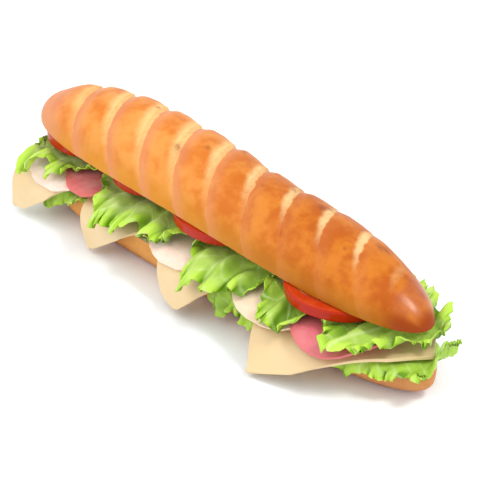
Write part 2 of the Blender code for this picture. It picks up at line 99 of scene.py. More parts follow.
# Scores across the top crust
FIRST_SCORE = -0.1205
SCORE_PITCH = 0.0268
SCORE_SLANT = 0.0126
SLANT_FADE = 0.33
SCORE_SWELL = 0.0031
SCORE_SWELL_AT_NARROW_END = 0.0009
SWELL_FULL_AT = 0.32
SWELL_EASES_FROM = 0.55
SWELL_ENDS_AT = 0.92
SWELL_AT_NOTCH_EDGE = 0.68
SWELL_LESSENS = (0.010, 0.075)
SCORES_START = (-0.148, 0.022)
SCORES_END = (0.128, 0.030)
RELIEF_ENDS = (math.radians(78), math.radians(38))
NOTCH_PHASES = (0.86, 0.06)
LIP_HEIGHT = 0.0007
LIP_RISES = (0.0, 0.035)
LIP_FADES = (0.0, 0.30)

# Shallow dips of the crown: middle, half length and depth
CROWN_DIPS = ((0.026, 0.038, 0.0036), (-0.055, 0.030, 0.0006))

# Fine noises of the crust and the crumb: height, rates along and round the loaf, and layer of the noise
DIMPLES = ((0.00030, 55.0, 2.2, 0.0), (0.00012, 180.0, 6.0, 4.0))
RAGGED_EDGE = ((0.0011, 240.0, 7.0, 2.0), (0.0005, 700.0, 24.0, 7.0))

# Open pores of the crumb: rate, layer of the noise, least value that opens a pore, and depth
PORES = ((420.0, 3.0, 0.10, 1.6), (1100.0, 9.0, 0.05, 0.7))
PORE_DEPTH_ABOVE = 0.0005
PORE_DEPTH_BELOW = 0.0006

# Torn cream of the scores, near the narrow tip and at the blunt one: angles in radians, and share of a piece
SCORE_MIDDLE = -0.17
SCORE_ENDS_AT = (0.95, 1.45)
SCORE_FADES_OVER = (0.85, 1.20)
SCORE_WIDTH = (0.155, 0.21)
CREAM_EDGE = (0.15, 0.26)
CREAM_FADES = (0.0, 0.045)
CREAM_ENDS = (1.45, 0.35)
CREAM_STRENGTHENS = (-0.136, 0.030)

# Tones of the crust, along the loaf, round it and within each piece between two scores; the pinkish tone on
# the rise of each piece is painted shade, and the darker tones low on its sides and under the narrow tip are
# partly painted shade
NEAR_TONES = (-0.060, 0.110)
BLUSH_FADES = (0.02, 0.46)
BLUNT_TIP_BLUSH = (-0.122, 0.018)
BAKE_DEEPENS = (-0.075, 0.150)
BAKE_FULL = (0.105, 0.030)
TAN_STARTS = (math.radians(50), math.radians(36))
BROWN_STARTS = (0.098, 0.036)
BROWN_SIDES = (0.75, 0.55)
BROWN_TIP = (0.137, 0.006)

# Small dark blisters: place along the loaf, angle from the crown, and size
BLISTERS = (
    (-0.0230, 0.06, 0.0014),
    (-0.0420, 0.36, 0.0022),
    (-0.0044, -0.48, 0.0016),
    (0.0374, -0.36, 0.0018),
    (0.0600, -0.27, 0.0030),
    (0.0640, -0.42, 0.0022),
    (0.1031, -0.36, 0.0028),
    (0.1065, -0.44, 0.0024),
    (0.0850, 0.30, 0.0012),
    (-0.0700, -0.30, 0.0014),
    (0.0200, 0.10, 0.0010),
    (-0.1000, -1.00, 0.0024),
    (0.0480, -1.15, 0.0026),
)

# Flat stack, as heights over the underside of the lowest cheese
SHELF_HEIGHT = 0.026
SHELF_HALF_WIDTH = 0.025
SHELF_NARROWS_FROM = 0.055
SHELF_NARROWING = 0.012
SHELF_NARROWING_LENGTH = 0.095
TABLE_CLEARANCE = 0.0008
CHEESE_THICKNESS = 0.0022
HAM_THICKNESS = 0.0018
LEAF_THICKNESS = 0.0007
TOMATO_THICKNESS = 0.0065
GAP = 0.0004
LOWER_LEAF_LEVEL = -0.0028
LOW_CHEESE_LEVEL = 0.0
HIGH_CHEESE_LEVEL = LOW_CHEESE_LEVEL + CHEESE_THICKNESS + GAP
HAM_LEVEL = HIGH_CHEESE_LEVEL + CHEESE_THICKNESS + GAP
SALAMI_LEVEL = HAM_LEVEL + HAM_THICKNESS + GAP
UPPER_LEAF_RISE = 0.0022
UPPER_LEAF_LEVEL = SALAMI_LEVEL + HAM_THICKNESS + GAP + UPPER_LEAF_RISE

# Drape of the filling over the edge of the lower half
FRONT_BEND_START_X = -0.085
FRONT_BEND_END_X = 0.075
FRONT_BEND_POWER = 1.6
FRONT_BEND_RADII = (0.0085, 0.0240)
FRONT_FALL_ANGLES = (math.radians(86), math.radians(60))
FRONT_FLARE_RADII = (0.004, 0.011)
BACK_BEND_RADIUS = 0.014
BACK_FALL_ANGLE = math.radians(80)
BACK_FLARE_RADIUS = 0.008
SLICE_STEP = 0.0022
SLICE_RIM = 0.0035
SLICE_WAVE_RATE = 70.0
RIM_ROUNDING = 0.22

# Outlines of the cheese slices in the flat stack, anticlockwise from the corner that hangs in front
CHEESE_1 = ((-0.1455, -0.0572), (-0.088, -0.014), (-0.118, 0.064), (-0.147, 0.044), (-0.1475, -0.025))
CHEESE_2 = (
    ((-0.084, -0.0545), (-0.016, -0.0035), (-0.067, 0.065))
    + ((-0.094, 0.034), (-0.0945, -0.024), (-0.0905, -0.042))
)
CHEESE_3 = (
    ((-0.006, -0.0575), (0.058, 0.000), (0.0005, 0.064))
    + ((-0.028, 0.030), (-0.027, -0.032), (-0.018, -0.049))
)
CHEESE_4 = (
    ((0.0625, -0.065), (0.088, -0.053), (0.108, -0.037), (0.130, -0.0175))
    + ((0.1455, 0.0025), (0.089, 0.0702), (0.048, 0.036), (0.046, -0.022))
)
CHEESE_SLICES = (
    (CHEESE_1, HIGH_CHEESE_LEVEL),
    (CHEESE_2, LOW_CHEESE_LEVEL),
    (CHEESE_3, HIGH_CHEESE_LEVEL),
    (CHEESE_4, LOW_CHEESE_LEVEL),
)

# Meat and tomato: centre and radius of each slice
HAM_SLICES = (
    ((-0.121, -0.0035), 0.029),
    ((-0.016, -0.0045), 0.031),
    ((0.055, -0.006), 0.034),
)
SALAMI_SLICES = (
    ((-0.098, 0.0015), 0.031),
    ((0.095, -0.0075), 0.0315),
)
HAM_CORNER_POWER = 2.4
MEAT_SIDES = 72
TOMATO_SLICES = (
    ((-0.1215, 0.0020), 0.026),
    ((-0.066, 0.0005), 0.0265),
    ((-0.008, -0.0005), 0.0305),
    ((0.081, -0.002), 0.032),
)
TOMATO_SEGMENTS = 120
TOMATO_CHAMBERS = 5
CHAMBER_WALL = (0.30, 0.25)
CHAMBER_OUTER = (0.84, 0.08)
CHAMBER_INNER = (0.26, 0.08)

# Lettuce: the wave of its edges
RUFFLE_LENGTH = 0.0150
RUFFLE_DRIFT = 1.1
RUFFLE_DRIFT_LENGTH = 0.021
RUFFLE_SKEW = 45.0
SMALL_RUFFLE = 0.35
SMALL_RUFFLE_RATE = 1.7
LEAF_CORNER_POWER = 8
LEAF_END_WIDTH = 0.72
LEAF_STEP = 0.00062

# Frills: wave length, height and how far in from the edge each starts, from broad to fine
FRILLS = (
    (0.0110, 0.0017, 0.0125),
    (0.0058, 0.0018, 0.0066),
    (0.0031, 0.0011, 0.0038),
)
FRILL_OVERHANG = 0.42
FRILL_EDGE = 0.0080
BRIGHT_EDGE = 0.0065
# The lift of a frill at which the painted light on its crests and the painted shade in its hollows are full
FULL_CREST = 0.0050

# Crumple of a leaf past the flat part it lies on, and the teeth of its outline as rate and size
CRUMPLE = 0.0024
CRUMPLE_RATE = 88.0
CRUMPLES = (0.014, 0.008)
TEETH = ((95.0, 0.0056), (290.0, 0.0018))

# Ribs of a leaf
SPINE_WIDTH = 0.0015
SPINE_WAVE = 0.0016
SIDE_RIB_PITCH = 0.0090
SIDE_RIB_WIDTH = 0.00055
RIB_HEIGHT = 0.00035

# Where the tones of the filling change, from its far end to its near end
FAR_FILLING = -0.075
NEAR_FILLING = 0.055

# Upper lettuce: where each leaf starts and ends, how far it reaches in front, its two front corners,
# each as the share of that reach at the leaf's end and the length over which it grows to the whole
UPPER_LEAVES = (
    (-0.1445, -0.0980, 0.0310, (0.84, 0.010), (0.62, 0.016)),
    (-0.0965, -0.0165, 0.0320, (0.54, 0.026), (0.94, 0.006)),
    (-0.0150, 0.0455, 0.0370, (0.56, 0.020), (0.85, 0.008)),
    (0.0470, 0.0825, 0.0365, (0.80, 0.018), (0.88, 0.008)),
    (0.0855, 0.1455, 0.0335, (0.64, 0.018), (1.00, 0.008)),
)
UPPER_FRONT_EDGE = 0.007
# How far the front edge of each lifts, and how strongly it frills
UPPER_LIFTS = (0.0010, 0.0010, 0.0005, 0.0010, 0.0020)
UPPER_FRILLS = (1.1, 1.0, 1.0, 1.1, 1.4)
UPPER_BACK_REACH = 0.0325
UPPER_REACH_SWING = 0.0016
UPPER_REACH_SWING_LENGTH = 0.0125
UPPER_SWELL = 0.0030
UPPER_INNER_SWELL = 0.0015
UPPER_SWELL_OFFSET = 0.45
UPPER_SWELLS = (0.012, 0.020)
UPPER_PAST_LOAF = (0.0035, 0.0105)
UPPER_TIP_REACH = (0.0175, 0.0040)
UPPER_TIP = (0.124, 0.020)
UPPER_END = (0.128, 0.016)
UPPER_END_WAVE_LENGTH = 0.0026
UPPER_END_WAVE_START = 0.6
UPPER_END_SINK = 0.0030
UPPER_CURL = 0.006
UPPER_CURLS = (0.118, 0.010)
UPPER_CURL_SPREAD = (0.001, 0.006)

# Lower lettuce: where each leaf starts and ends, and its hanging tongues as middle, half length and reach
LOWER_LEAVES = ((-0.146, -0.062), (-0.0605, 0.0820), (0.0835, 0.1515))
LOWER_TONGUES = ((-0.126, 0.022, 0.0150), (0.017, 0.012, 0.0220), (0.042, 0.011, 0.0200))
LOWER_REACH = 0.0270
LOWER_END_HANG = (0.0195, 0.0105)
LOWER_END_HANGS = (0.095, 0.045)
LOWER_END = (0.090, 0.012)
LOWER_BACK_AT_TIP = 0.55
LOWER_SWELL = 0.0020
LOWER_INNER_SWELL = 0.0005
LOWER_SWELLS_OVER = 0.009
LOWER_WAVE_SHIFT = 0.004
LOWER_TIP = (0.140, 0.010)
LOWER_TIP_WAVE_LENGTH = 0.0028
LOWER_CURL = 0.013
LOWER_CURLS = (0.1455, 0.0055)
LOWER_CURL_SPREAD = (-0.008, 0.013)
LOWER_SHELF_HALF_WIDTH = 0.0254
LOWER_SHELF_AT_END = 0.009
LOWER_BEND_RADIUS = 0.0080
LOWER_FALL_ANGLE = math.radians(75)

# Light: place and size of each lamp, and the point at which both aim
KEY_PLACE = (0.78, 0.12, 1.22)
KEY_SIZE = 0.34
FILL_PLACE = (-0.35, -0.95, 1.30)
FILL_SIZE = 2.0
LIGHT_AIM = (0.0, 0.0, 0.03)
FLOOR_HALF_SIZE = 6.0

# Camera, as the photograph was taken
CAMERA_AZIMUTH = math.radians(46.075)
CAMERA_HEIGHT_ANGLE = math.radians(34.0)
CAMERA_DISTANCE = 2.0
CAMERA_LENS = 271.6
CAMERA_SENSOR = 36.0
CAMERA_TARGET_HEIGHT = 0.035
CAMERA_AIM_RIGHT = 0.0014
CAMERA_AIM_DOWN = 0.0030

# The CAD model is centred on its own box, which moves it a little along the loaf
CENTRE_SHIFT = Vector((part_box("top_bun")[0][0] - BLUNT_END, 0.0, 0.0))


def smooth_step(value):
    """0 below 0, 1 above 1, and a smooth rise between."""
    value = min(max(value, 0.0), 1.0)
    return value * value * (3.0 - 2.0 * value)


def rise(value, start, length):
    """0 up to the start, then a smooth rise to 1 over the length."""
    return smooth_step((value - start) / length)


def fall(value, end, length):
    """1 at first, then a smooth fall over the length to 0 at the end."""
    return smooth_step((end - value) / length)


def mix(pair, share):
    return pair[0] + (pair[1] - pair[0]) * share


def rough(x, y, z=0.0):
    """Smooth noise from about -1 to 1."""
    return noise.noise(Vector((x, y, z)))


def rough_sum(waves, x, angle):
    """Sum of noises, each with its height, its rates along and round the loaf, and its layer."""
    return sum(height * rough(x * along, angle * around, layer) for height, along, around, layer in waves)


def even_steps(start, end, step):
    count = max(1, round((end - start) / step))
    return [start + (end - start) * index / count for index in range(count + 1)]


def add_piece(name, bm, material, node, crease=math.radians(50)):
    """Makes an object of a finished mesh, and puts it in the place of its CAD node."""
    bmesh.ops.translate(bm, verts=bm.verts[:], vec=CENTRE_SHIFT)
    bmesh.ops.recalc_face_normals(bm, faces=bm.faces[:])
    mesh = bpy.data.meshes.new(name)
    bm.to_mesh(mesh)
    bm.free()
    mesh.shade_smooth()
    mesh.set_sharp_from_angle(angle=crease)
    mesh.materials.append(material)
    piece = bpy.data.objects.new(name, mesh)
    bpy.context.scene.collection.objects.link(piece)
    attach(piece, "root")
    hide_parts(node)
    return piece


def wrapped_shell(rings, segments, place, layers):
    """A closed skin of rings between two poles. place(ring, segment) gives each point and its values."""
    bm = bmesh.new()
    bmesh.ops.create_uvsphere(bm, u_segments=segments, v_segments=rings, radius=1.0)
    values = [bm.verts.layers.float.new(layer) for layer in layers]
    for vert in bm.verts:
        ring = round(math.acos(max(-1.0, min(1.0, vert.co.z))) / math.pi * rings)
        segment = round(math.atan2(vert.co.y, vert.co.x) / math.tau * segments) % segments
        vert.co, marks = place(ring, segment)
        for layer, mark in zip(values, marks):
            vert[layer] = mark
    return bm


# Loaf


def end_taper(share, narrow_power):
    power = BLUNT_END_POWER if share < 0 else narrow_power
    return math.sqrt(max(0.0, 1.0 - min(abs(share), 1.0) ** power))


def top_share(x):
    return x / (NARROW_END if x > 0 else -BLUNT_END)


def top_taper(x):
    return end_taper(top_share(x), NARROW_END_POWER)


def base_taper(x):
    return end_taper(x / BASE_NARROW_END, BASE_NARROW_POWER)


def top_cut_height(x):
    return TOP_CUT_HEIGHT + TOP_CUT_SLOPE * x + TOP_CUT_ARCH * (1.0 - top_share(x) ** 2)


def top_rise(x):
    return TOP_RISE * (1.0 - BLUNT_END_DROP * fall(x, *BLUNT_END_DROPS))


def score_phase(x):
    phase = (x - FIRST_SCORE) / SCORE_PITCH
    return phase - math.floor(phase)


def swell(phase):
    if phase > SWELL_ENDS_AT:
        return SWELL_AT_NOTCH_EDGE * (1.0 - phase) / (1.0 - SWELL_ENDS_AT)
    ease = rise(phase, SWELL_EASES_FROM, SWELL_ENDS_AT - SWELL_EASES_FROM)
    return smooth_step(phase / SWELL_FULL_AT) - (1.0 - SWELL_AT_NOTCH_EDGE) * ease


def scored(x):
    """1 where the loaf is scored, 0 at its two tips."""
    return rise(x, *SCORES_START) * fall(x, *SCORES_END)


def crust_relief(x, angle):
    """Height of the crust over the plain loaf, with the fine lip and dimples of real crust."""
    height = mix((SCORE_SWELL, SCORE_SWELL_AT_NARROW_END), rise(x, *SWELL_LESSENS))
    dips = sum(depth * math.exp(-(((x - middle) / width) ** 2)) for middle, width, depth in CROWN_DIPS)
    around = fall(abs(angle), *RELIEF_ENDS)
    phase = score_phase(x)
    lip = LIP_HEIGHT * rise(phase, *LIP_RISES) * (1.0 - rise(phase, *LIP_FADES))
    scores = scored(x) * (height * swell(phase) + lip * height / SCORE_SWELL)
    return (scores - dips) * around + rough_sum(DIMPLES, x, angle)


def crust_marks(x, angle):
    """Where the crust is torn and creamy, pinkish with painted shade on the rise of each piece, well baked,
    darker with partly painted shade along its lower edge and under the narrow tip, and blistered.
    """
    phase = score_phase(x + rough_sum(RAGGED_EDGE, x, angle))
    far = 1.0 - rise(x, *NEAR_TONES)
    over = abs(angle - SCORE_MIDDLE)
    spread = fall(over, mix(SCORE_ENDS_AT, far), mix(SCORE_FADES_OVER, far))
    width = mix(SCORE_WIDTH, far) * (0.30 + 0.70 * spread)
    cream = smooth_step((phase - 1.0 + width) / mix(CREAM_EDGE, far) + 0.5)
    cream = max(cream, 1.0 - rise(phase, *CREAM_FADES))
    strength = scored(x) * mix((0.88 * spread, 0.25 + 0.60 * spread), far)
    cream *= strength * fall(abs(angle), *CREAM_ENDS)
    cream *= mix((0.5, 1.0), rise(x, *CREAM_STRENGTHENS))
    # Painted shade: a greyish-pink tone on the rise of each piece, which faces away from the key light,
    # strongest at the far end and at the blunt tip
    shade_blush = (1.0 - rise(phase, *BLUSH_FADES)) * mix((0.15, 0.85), far) * scored(x)
    shade_blush = max(shade_blush, 0.9 * fall(x, *BLUNT_TIP_BLUSH))
    bake = rise(x, *BAKE_DEEPENS) * (0.80 + 0.20 * rise(x, *BAKE_FULL))
    # Along the lower edge: partly the crust's own tawny tone, partly painted shade on the side that faces
    # away from the light
    tan = rise(abs(angle), *TAN_STARTS)
    # Under the narrow tip and low on its sides: partly the crust's own dark tone, partly painted shade
    brown_and_shade = rise(x, *BROWN_STARTS) * rise(abs(angle + 0.15), *BROWN_SIDES)
    brown_and_shade = max(brown_and_shade, rise(x, *BROWN_TIP))
    spots = max(
        math.exp(-(((x - at) / size) ** 2 + ((angle - turn) * TOP_HALF_WIDTH / size) ** 2))
        for at, turn, size in BLISTERS
    )
    return cream, shade_blush, bake, tan, brown_and_shade, spots


def ring_stations(blunt_end, narrow_end):
    """Places of the rings along a half of the loaf, closer at the notches and at both tips."""
    stations = [blunt_end * share for share in END_SHARES]
    x = stations[-1]
    while x < narrow_end * END_SHARES[-1]:
        phase = score_phase(x)
        at_notch = phase > NOTCH_PHASES[0] or phase < NOTCH_PHASES[1]
        x += RING_STEP_AT_NOTCH if at_notch else RING_STEP
        stations.append(x)
    stations.pop()
    return stations + [narrow_end * share for share in reversed(END_SHARES)]


def loaf_turn(segment):
    """Turn round the loaf, from 0 in front over the crust to half a turn, then back through the crumb."""
    if segment <= CRUST_SEGMENTS:
        return math.pi * segment / CRUST_SEGMENTS, True
    return -math.pi * (LOAF_SEGMENTS - segment) / (LOAF_SEGMENTS - CRUST_SEGMENTS), False


def pores(x, y):
    """Depth of the open pores of the crumb, from 0 to 1."""
    open_parts = (
        depth * max(0.0, rough(x * rate, y * rate, layer) - least) for rate, layer, least, depth in PORES
    )
    return min(1.0, sum(open_parts))


def make_loaf_top(material, depth):
    stations = ring_stations(BLUNT_END, NARROW_END)

    def place(ring, segment):
        if ring in (0, len(stations) + 1):
            x, marks = (BLUNT_END, BLUNT_TIP_MARKS) if ring == 0 else (NARROW_END, NARROW_TIP_MARKS)
            return Vector((x, 0.0, top_cut_height(x))), marks
        station = stations[ring - 1]
        turn, on_crust = loaf_turn(segment)
        angle = math.pi / 2 - abs(turn)
        slant = smooth_step((1.0 - abs(top_share(station))) / SLANT_FADE)
        x = station + SCORE_SLANT * angle * slant
        taper = top_taper(x)
        if not on_crust:
            y = -TOP_HALF_WIDTH * taper * math.cos(turn)
            inwards = abs(math.sin(turn))
            dip = CRUMB_DIP * taper * inwards - PORE_DEPTH_ABOVE * pores(x, y) * inwards
            return Vector((x, y, top_cut_height(x) - dip)), CRUMB_MARKS
        relief = depth * crust_relief(station, angle)
        y = -(TOP_HALF_WIDTH + relief) * taper * math.cos(turn)
        z = top_cut_height(x) + (top_rise(x) + relief) * taper * math.sin(turn)
        return Vector((x, y, z)), (*crust_marks(station, angle), 0.0)

    bm = wrapped_shell(len(stations) + 1, LOAF_SEGMENTS, place, BREAD_MARKS)
    return add_piece("loaf_top", bm, material, "top_bun", math.radians(60))


def make_loaf_base(material):
    stations = ring_stations(BASE_BLUNT_END, BASE_NARROW_END)

    def place(ring, segment):
        if ring in (0, len(stations) + 1):
            x = BASE_BLUNT_END if ring == 0 else BASE_NARROW_END
            return Vector((x, 0.0, BASE_HEIGHT)), BASE_TIP_MARKS
        x = stations[ring - 1]
        turn, on_crust = loaf_turn(segment)
        taper = base_taper(x)
        y = -BASE_HALF_WIDTH * taper * math.cos(turn)
        if not on_crust:
            dip = PORE_DEPTH_BELOW * pores(x, y) * abs(math.sin(turn))
            return Vector((x, y, BASE_HEIGHT - dip)), CRUMB_MARKS
        depth = (BASE_HEIGHT + BASE_SINK) * math.sin(turn) ** BASE_SIDE_POWER * math.sqrt(taper)
        z = max(0.0, BASE_HEIGHT - depth)
        dimple = BASE_DIMPLE * rough(x * 60, y * 120, z * 120) * smooth_step(z / 0.004)
        # Darker towards the floor: partly the crust's own tone, partly painted shade
        low = fall(z, *BASE_LOW)
        shade_blush = 0.35 * rise(x, *BASE_BLUSH)
        brown_and_shade = max(0.6 * low, 0.5 * rise(x, *BASE_BROWN))
        marks = (0.22 * (1.0 - low), shade_blush, 0.6 * low, 0.6 - 0.6 * low, brown_and_shade, 0.0, 0.0)
        return Vector((x, y + math.copysign(dimple, y), z)), marks

    bm = wrapped_shell(len(stations) + 1, LOAF_SEGMENTS, place, BREAD_MARKS)
    return add_piece("loaf_base", bm, material, "bottom_bun", math.radians(60))


# Filling


def filling_edge(x, across):
    """Half width of the flat part, radius of the bend, steepest fall, and radius of the flare."""
    narrowing = max((x - SHELF_NARROWS_FROM) / SHELF_NARROWING_LENGTH, 0.0)
    shelf = SHELF_HALF_WIDTH - SHELF_NARROWING * narrowing**2
    if across > 0:
        return shelf, BACK_BEND_RADIUS, BACK_FALL_ANGLE, BACK_FLARE_RADIUS
    share = rise(x, FRONT_BEND_START_X, FRONT_BEND_END_X - FRONT_BEND_START_X)
    share = share**FRONT_BEND_POWER
    return shelf, mix(FRONT_BEND_RADII, share), mix(FRONT_FALL_ANGLES, share), mix(FRONT_FLARE_RADII, share)


def lower_leaf_edge(x, across):
    shelf = max(LOWER_SHELF_HALF_WIDTH * base_taper(x), LOWER_SHELF_AT_END)
    return shelf, LOWER_BEND_RADIUS, LOWER_FALL_ANGLE, FRONT_FLARE_RADII[0]


def drape(point, edge_at=filling_edge):
    """Carries a point of the flat stack over the edge of the lower half, in an arc, a fall and a flare."""
    x, across, height = point
    shelf, radius, fall, flare = edge_at(x, across)
    beyond = abs(across) - shelf
    if beyond <= 0:
        return Vector((x, across, SHELF_HEIGHT + height))
    drop = SHELF_HEIGHT - TABLE_CLEARANCE
    straight = (drop - (radius + flare) * (1 - math.cos(fall))) / math.sin(fall)
    after_arc = beyond - radius * fall
    after_fall = after_arc - straight
    turn = min(beyond / radius, fall)
    out = radius * math.sin(turn)
    down = radius * (1 - math.cos(turn))
    if after_arc > 0:
        out += min(after_arc, straight) * math.cos(fall)
        down += min(after_arc, straight) * math.sin(fall)
    if after_fall > 0:
        turn = max(fall - after_fall / flare, 0.0)
        out += flare * (math.sin(fall) - math.sin(turn)) + max(after_fall - flare * fall, 0.0)
        down += flare * (math.cos(turn) - math.cos(fall))
    out += height * math.sin(turn)
    z = SHELF_HEIGHT - down + height * math.cos(turn)
    return Vector((x, math.copysign(shelf + out, across), z))


def flat_grid(columns, rows):
    """A flat sheet with its points on the given columns along X and rows along Y."""
    bm = bmesh.new()
    bmesh.ops.create_grid(bm, x_segments=len(columns) - 1, y_segments=len(rows) - 1, size=0.5)
    for vert in bm.verts:
        column = round((vert.co.x + 0.5) * (len(columns) - 1))
        row = round((vert.co.y + 0.5) * (len(rows) - 1))
        vert.co = (columns[column], rows[row], 0.0)
    return bm


def trim(bm, outline):
    """Cuts a flat sheet along each side of a convex outline that runs anticlockwise."""
    for start, end in zip(outline, outline[1:] + outline[:1]):
        side = end - start
        everything = bm.verts[:] + bm.edges[:] + bm.faces[:]
        outwards = Vector((side.y, -side.x, 0.0))
        bmesh.ops.bisect_plane(
            bm, geom=everything, plane_co=start, plane_no=outwards, clear_outer=True, dist=1e-6
        )
    bmesh.ops.remove_doubles(bm, verts=bm.verts[:], dist=0.00015)


def inside_distance(point, outline):
    """How far inside a convex outline a point lies."""
    nearest = 1.0
    for start, end in zip(outline, outline[1:] + outline[:1]):
        side = (end - start).normalized()
        nearest = min(nearest, side.x * (point.y - start.y) - side.y * (point.x - start.x))
    return max(nearest, 0.0)


def make_slice(name, node, outline, level, thickness, wave, material):
    """A slice of that outline, laid on the stack at that level and draped, with softly rounded rims."""
    xs = [corner.x for corner in outline]
    ys = [corner.y for corner in outline]
    bm = flat_grid(even_steps(min(xs), max(xs), SLICE_STEP), even_steps(min(ys), max(ys), SLICE_STEP))
    trim(bm, outline)
    bmesh.ops.solidify(bm, geom=bm.faces[:], thickness=thickness)
    lowest = min(vert.co.z for vert in bm.verts)
    rim = bm.verts.layers.float.new("rim")
    for vert in bm.verts:
        inside = inside_distance(vert.co, outline)
        through = (vert.co.z - lowest) / thickness
        vert[rim] = 1.0 - smooth_step(inside / SLICE_RIM)
        lift = wave * rough(vert.co.x * SLICE_WAVE_RATE, vert.co.y * SLICE_WAVE_RATE, level * 900)
        vert.co = drape((vert.co.x, vert.co.y, level + through * thickness + lift))
    piece = add_piece(name, bm, material, node, math.radians(40))
    bevel = piece.modifiers.new("rounded rim", "BEVEL")
    bevel.width = thickness * RIM_ROUNDING
    bevel.segments = 2
    bevel.limit_method = "ANGLE"
    bevel.angle_limit = math.radians(60)
    return piece


def round_outline(centre, radius, power, waviness=0.0):
    """A round slice; a power over 2 makes it squarer, and waviness makes its rim uneven."""
    outline = []
    for index in range(MEAT_SIDES):
        turn = math.tau * (index + 0.5) / MEAT_SIDES
        spread = (abs(math.cos(turn)) ** power + abs(math.sin(turn)) ** power) ** (-1.0 / power)
        spread *= 1.0 + waviness * math.sin(3 * turn + centre[0] * 90)
        across, over = radius * spread * math.cos(turn), radius * spread * math.sin(turn)
        outline.append(Vector((centre[0] + across, centre[1] + over, 0.0)))
    return outline


def make_cheese(material):
    for number, (corners, level) in enumerate(CHEESE_SLICES, start=1):
        outline = [Vector((x, y, 0.0)) for x, y in corners]
        name = f"cheese_slice_{number}"
        make_slice(f"cheese_{number}", name, outline, level, CHEESE_THICKNESS, 0.0002, material)


def make_meat(ham, salami):
    for number, (centre, radius) in enumerate(HAM_SLICES, start=1):
        outline = round_outline(centre, radius, HAM_CORNER_POWER)
        node = f"ham_slice_{number}"
        make_slice(f"ham_{number}", node, outline, HAM_LEVEL, HAM_THICKNESS, 0.0003, ham)
    for number, (centre, radius) in enumerate(SALAMI_SLICES, start=1):
        outline = round_outline(centre, radius, 2.0)
        node = f"salami_slice_{number}"
        make_slice(f"salami_{number}", node, outline, SALAMI_LEVEL, HAM_THICKNESS, 0.0002, salami)


def tomato_chamber(share, turn):
    """How far a point of the cut face lies inside a seed chamber, from 0 to 1."""
    wall = abs(math.sin(turn * TOMATO_CHAMBERS / 2)) * share * 1.6
    return rise(wall, *CHAMBER_WALL) * fall(share, *CHAMBER_OUTER) * rise(share, *CHAMBER_INNER)


def make_tomatoes(material):
    """Round slices that lie under the cut face of the upper half and follow its slope."""
    face_shares = [math.sin(math.pi / 2 * index / 44) for index in range(1, 45)]
    side_steps = 10

    for number, ((x, y), radius) in enumerate(TOMATO_SLICES, start=1):
        profile = [(share, 0.5, share) for share in face_shares]
        profile += [(1.0, 0.5 - (step + 1) / (side_steps + 1), 1.05) for step in range(side_steps)]
        profile += [(share, -0.5, share) for share in reversed(face_shares)]
        slope = (top_cut_height(x + radius) - top_cut_height(x - radius)) / (2 * radius)
        middle = top_cut_height(x) - CRUMB_DIP - GAP - TOMATO_THICKNESS / 2

        def place(ring, segment, x=x, y=y, radius=radius, profile=profile, slope=slope, middle=middle):
            turn = math.tau * segment / TOMATO_SEGMENTS
            if ring in (0, len(profile) + 1):
                height = TOMATO_THICKNESS * (0.5 if ring == 0 else -0.5)
                return Vector((x, y, middle + height)), (0.0, 0.0, 1.0)
            share, height, cut = profile[ring - 1]
            waist = 1.0 - 0.10 * (2 * height) ** 4 if cut > 1 else 1.0
            uneven = 1.0 + 0.012 * math.sin(5 * turn + x * 50) - 0.012
            rounding = smooth_step((share - 0.93) / 0.07) if cut <= 1 else 0.0
            chamber = tomato_chamber(share, turn + 0.25 * rough(share * 3, turn)) if cut <= 1 else 0.0
            seeds = max(0.0, rough(share * 16, turn * 7 * share, x * 40) - 0.18) * 2.4 * chamber
            depth = TOMATO_THICKNESS * height * (1.0 - 0.10 * rounding)
            depth -= math.copysign(0.0007 * chamber - 0.0004 * min(seeds, 1.0), height) if cut <= 1 else 0.0
            reach = radius * share * uneven * (1.0 - 0.006 * rounding) * (0.985 + 0.015 * waist)
            across = reach * math.cos(turn)
            skin = 1.0 if cut > 1 else smooth_step((share - 0.972) / 0.02)
            return (
                Vector((x + across, y + reach * math.sin(turn), middle + depth + slope * across)),
                (skin, chamber, min(1.0, seeds)),
            )

        layers = ("skin", "chamber", "seeds")
        bm = wrapped_shell(len(profile) + 1, TOMATO_SEGMENTS, place, layers)
        add_piece(f"tomato_{number}", bm, material, f"tomato_slice_{number}", math.radians(70))


# Lettuce


def ruffle(x, across):
    """The wave of a leaf's edge, from -1 to 1, uneven along the leaf."""
    drift = RUFFLE_DRIFT * math.sin(x / RUFFLE_DRIFT_LENGTH)
    swing = math.tau * x / RUFFLE_LENGTH + drift + RUFFLE_SKEW * across
    return (math.sin(swing) + SMALL_RUFFLE * math.sin(SMALL_RUFFLE_RATE * swing + 1.0)) / (1.0 + SMALL_RUFFLE)


def lobe(share):
    """Roundness of a leaf towards its two ends, for a share from 0 to 1 along it."""
    return mix((1.0, LEAF_END_WIDTH), abs(2.0 * share - 1.0) ** LEAF_CORNER_POWER)


def leaf_rows():
    """Rows of a leaf from one edge to the other, closest where it frills."""
    outer = [1.0 - index * 0.0125 for index in range(28)]
    half = even_steps(0.0, outer[-1] - 0.03, 0.04) + list(reversed(outer))
    return [-row for row in reversed(half[1:])] + half


def rib_at(x, across, middle):
    """The midrib across the leaf and the side ribs that branch from it, from 0 to 1."""
    along = x - middle + SPINE_WAVE * math.sin(across * 170)
    spine = math.exp(-((along / (SPINE_WIDTH * (1.15 - min(abs(across) / 0.045, 1.0)))) ** 2))
    skewed = abs(across) - 0.75 * abs(along) + 0.0022 * rough(x * 110, across * 110)
    branch = abs((skewed / SIDE_RIB_PITCH) % 1.0 - 0.5) * SIDE_RIB_PITCH
    side = math.exp(-((branch / SIDE_RIB_WIDTH) ** 2)) * smooth_step(abs(along) / 0.002)
    return max(spine, 0.75 * side)


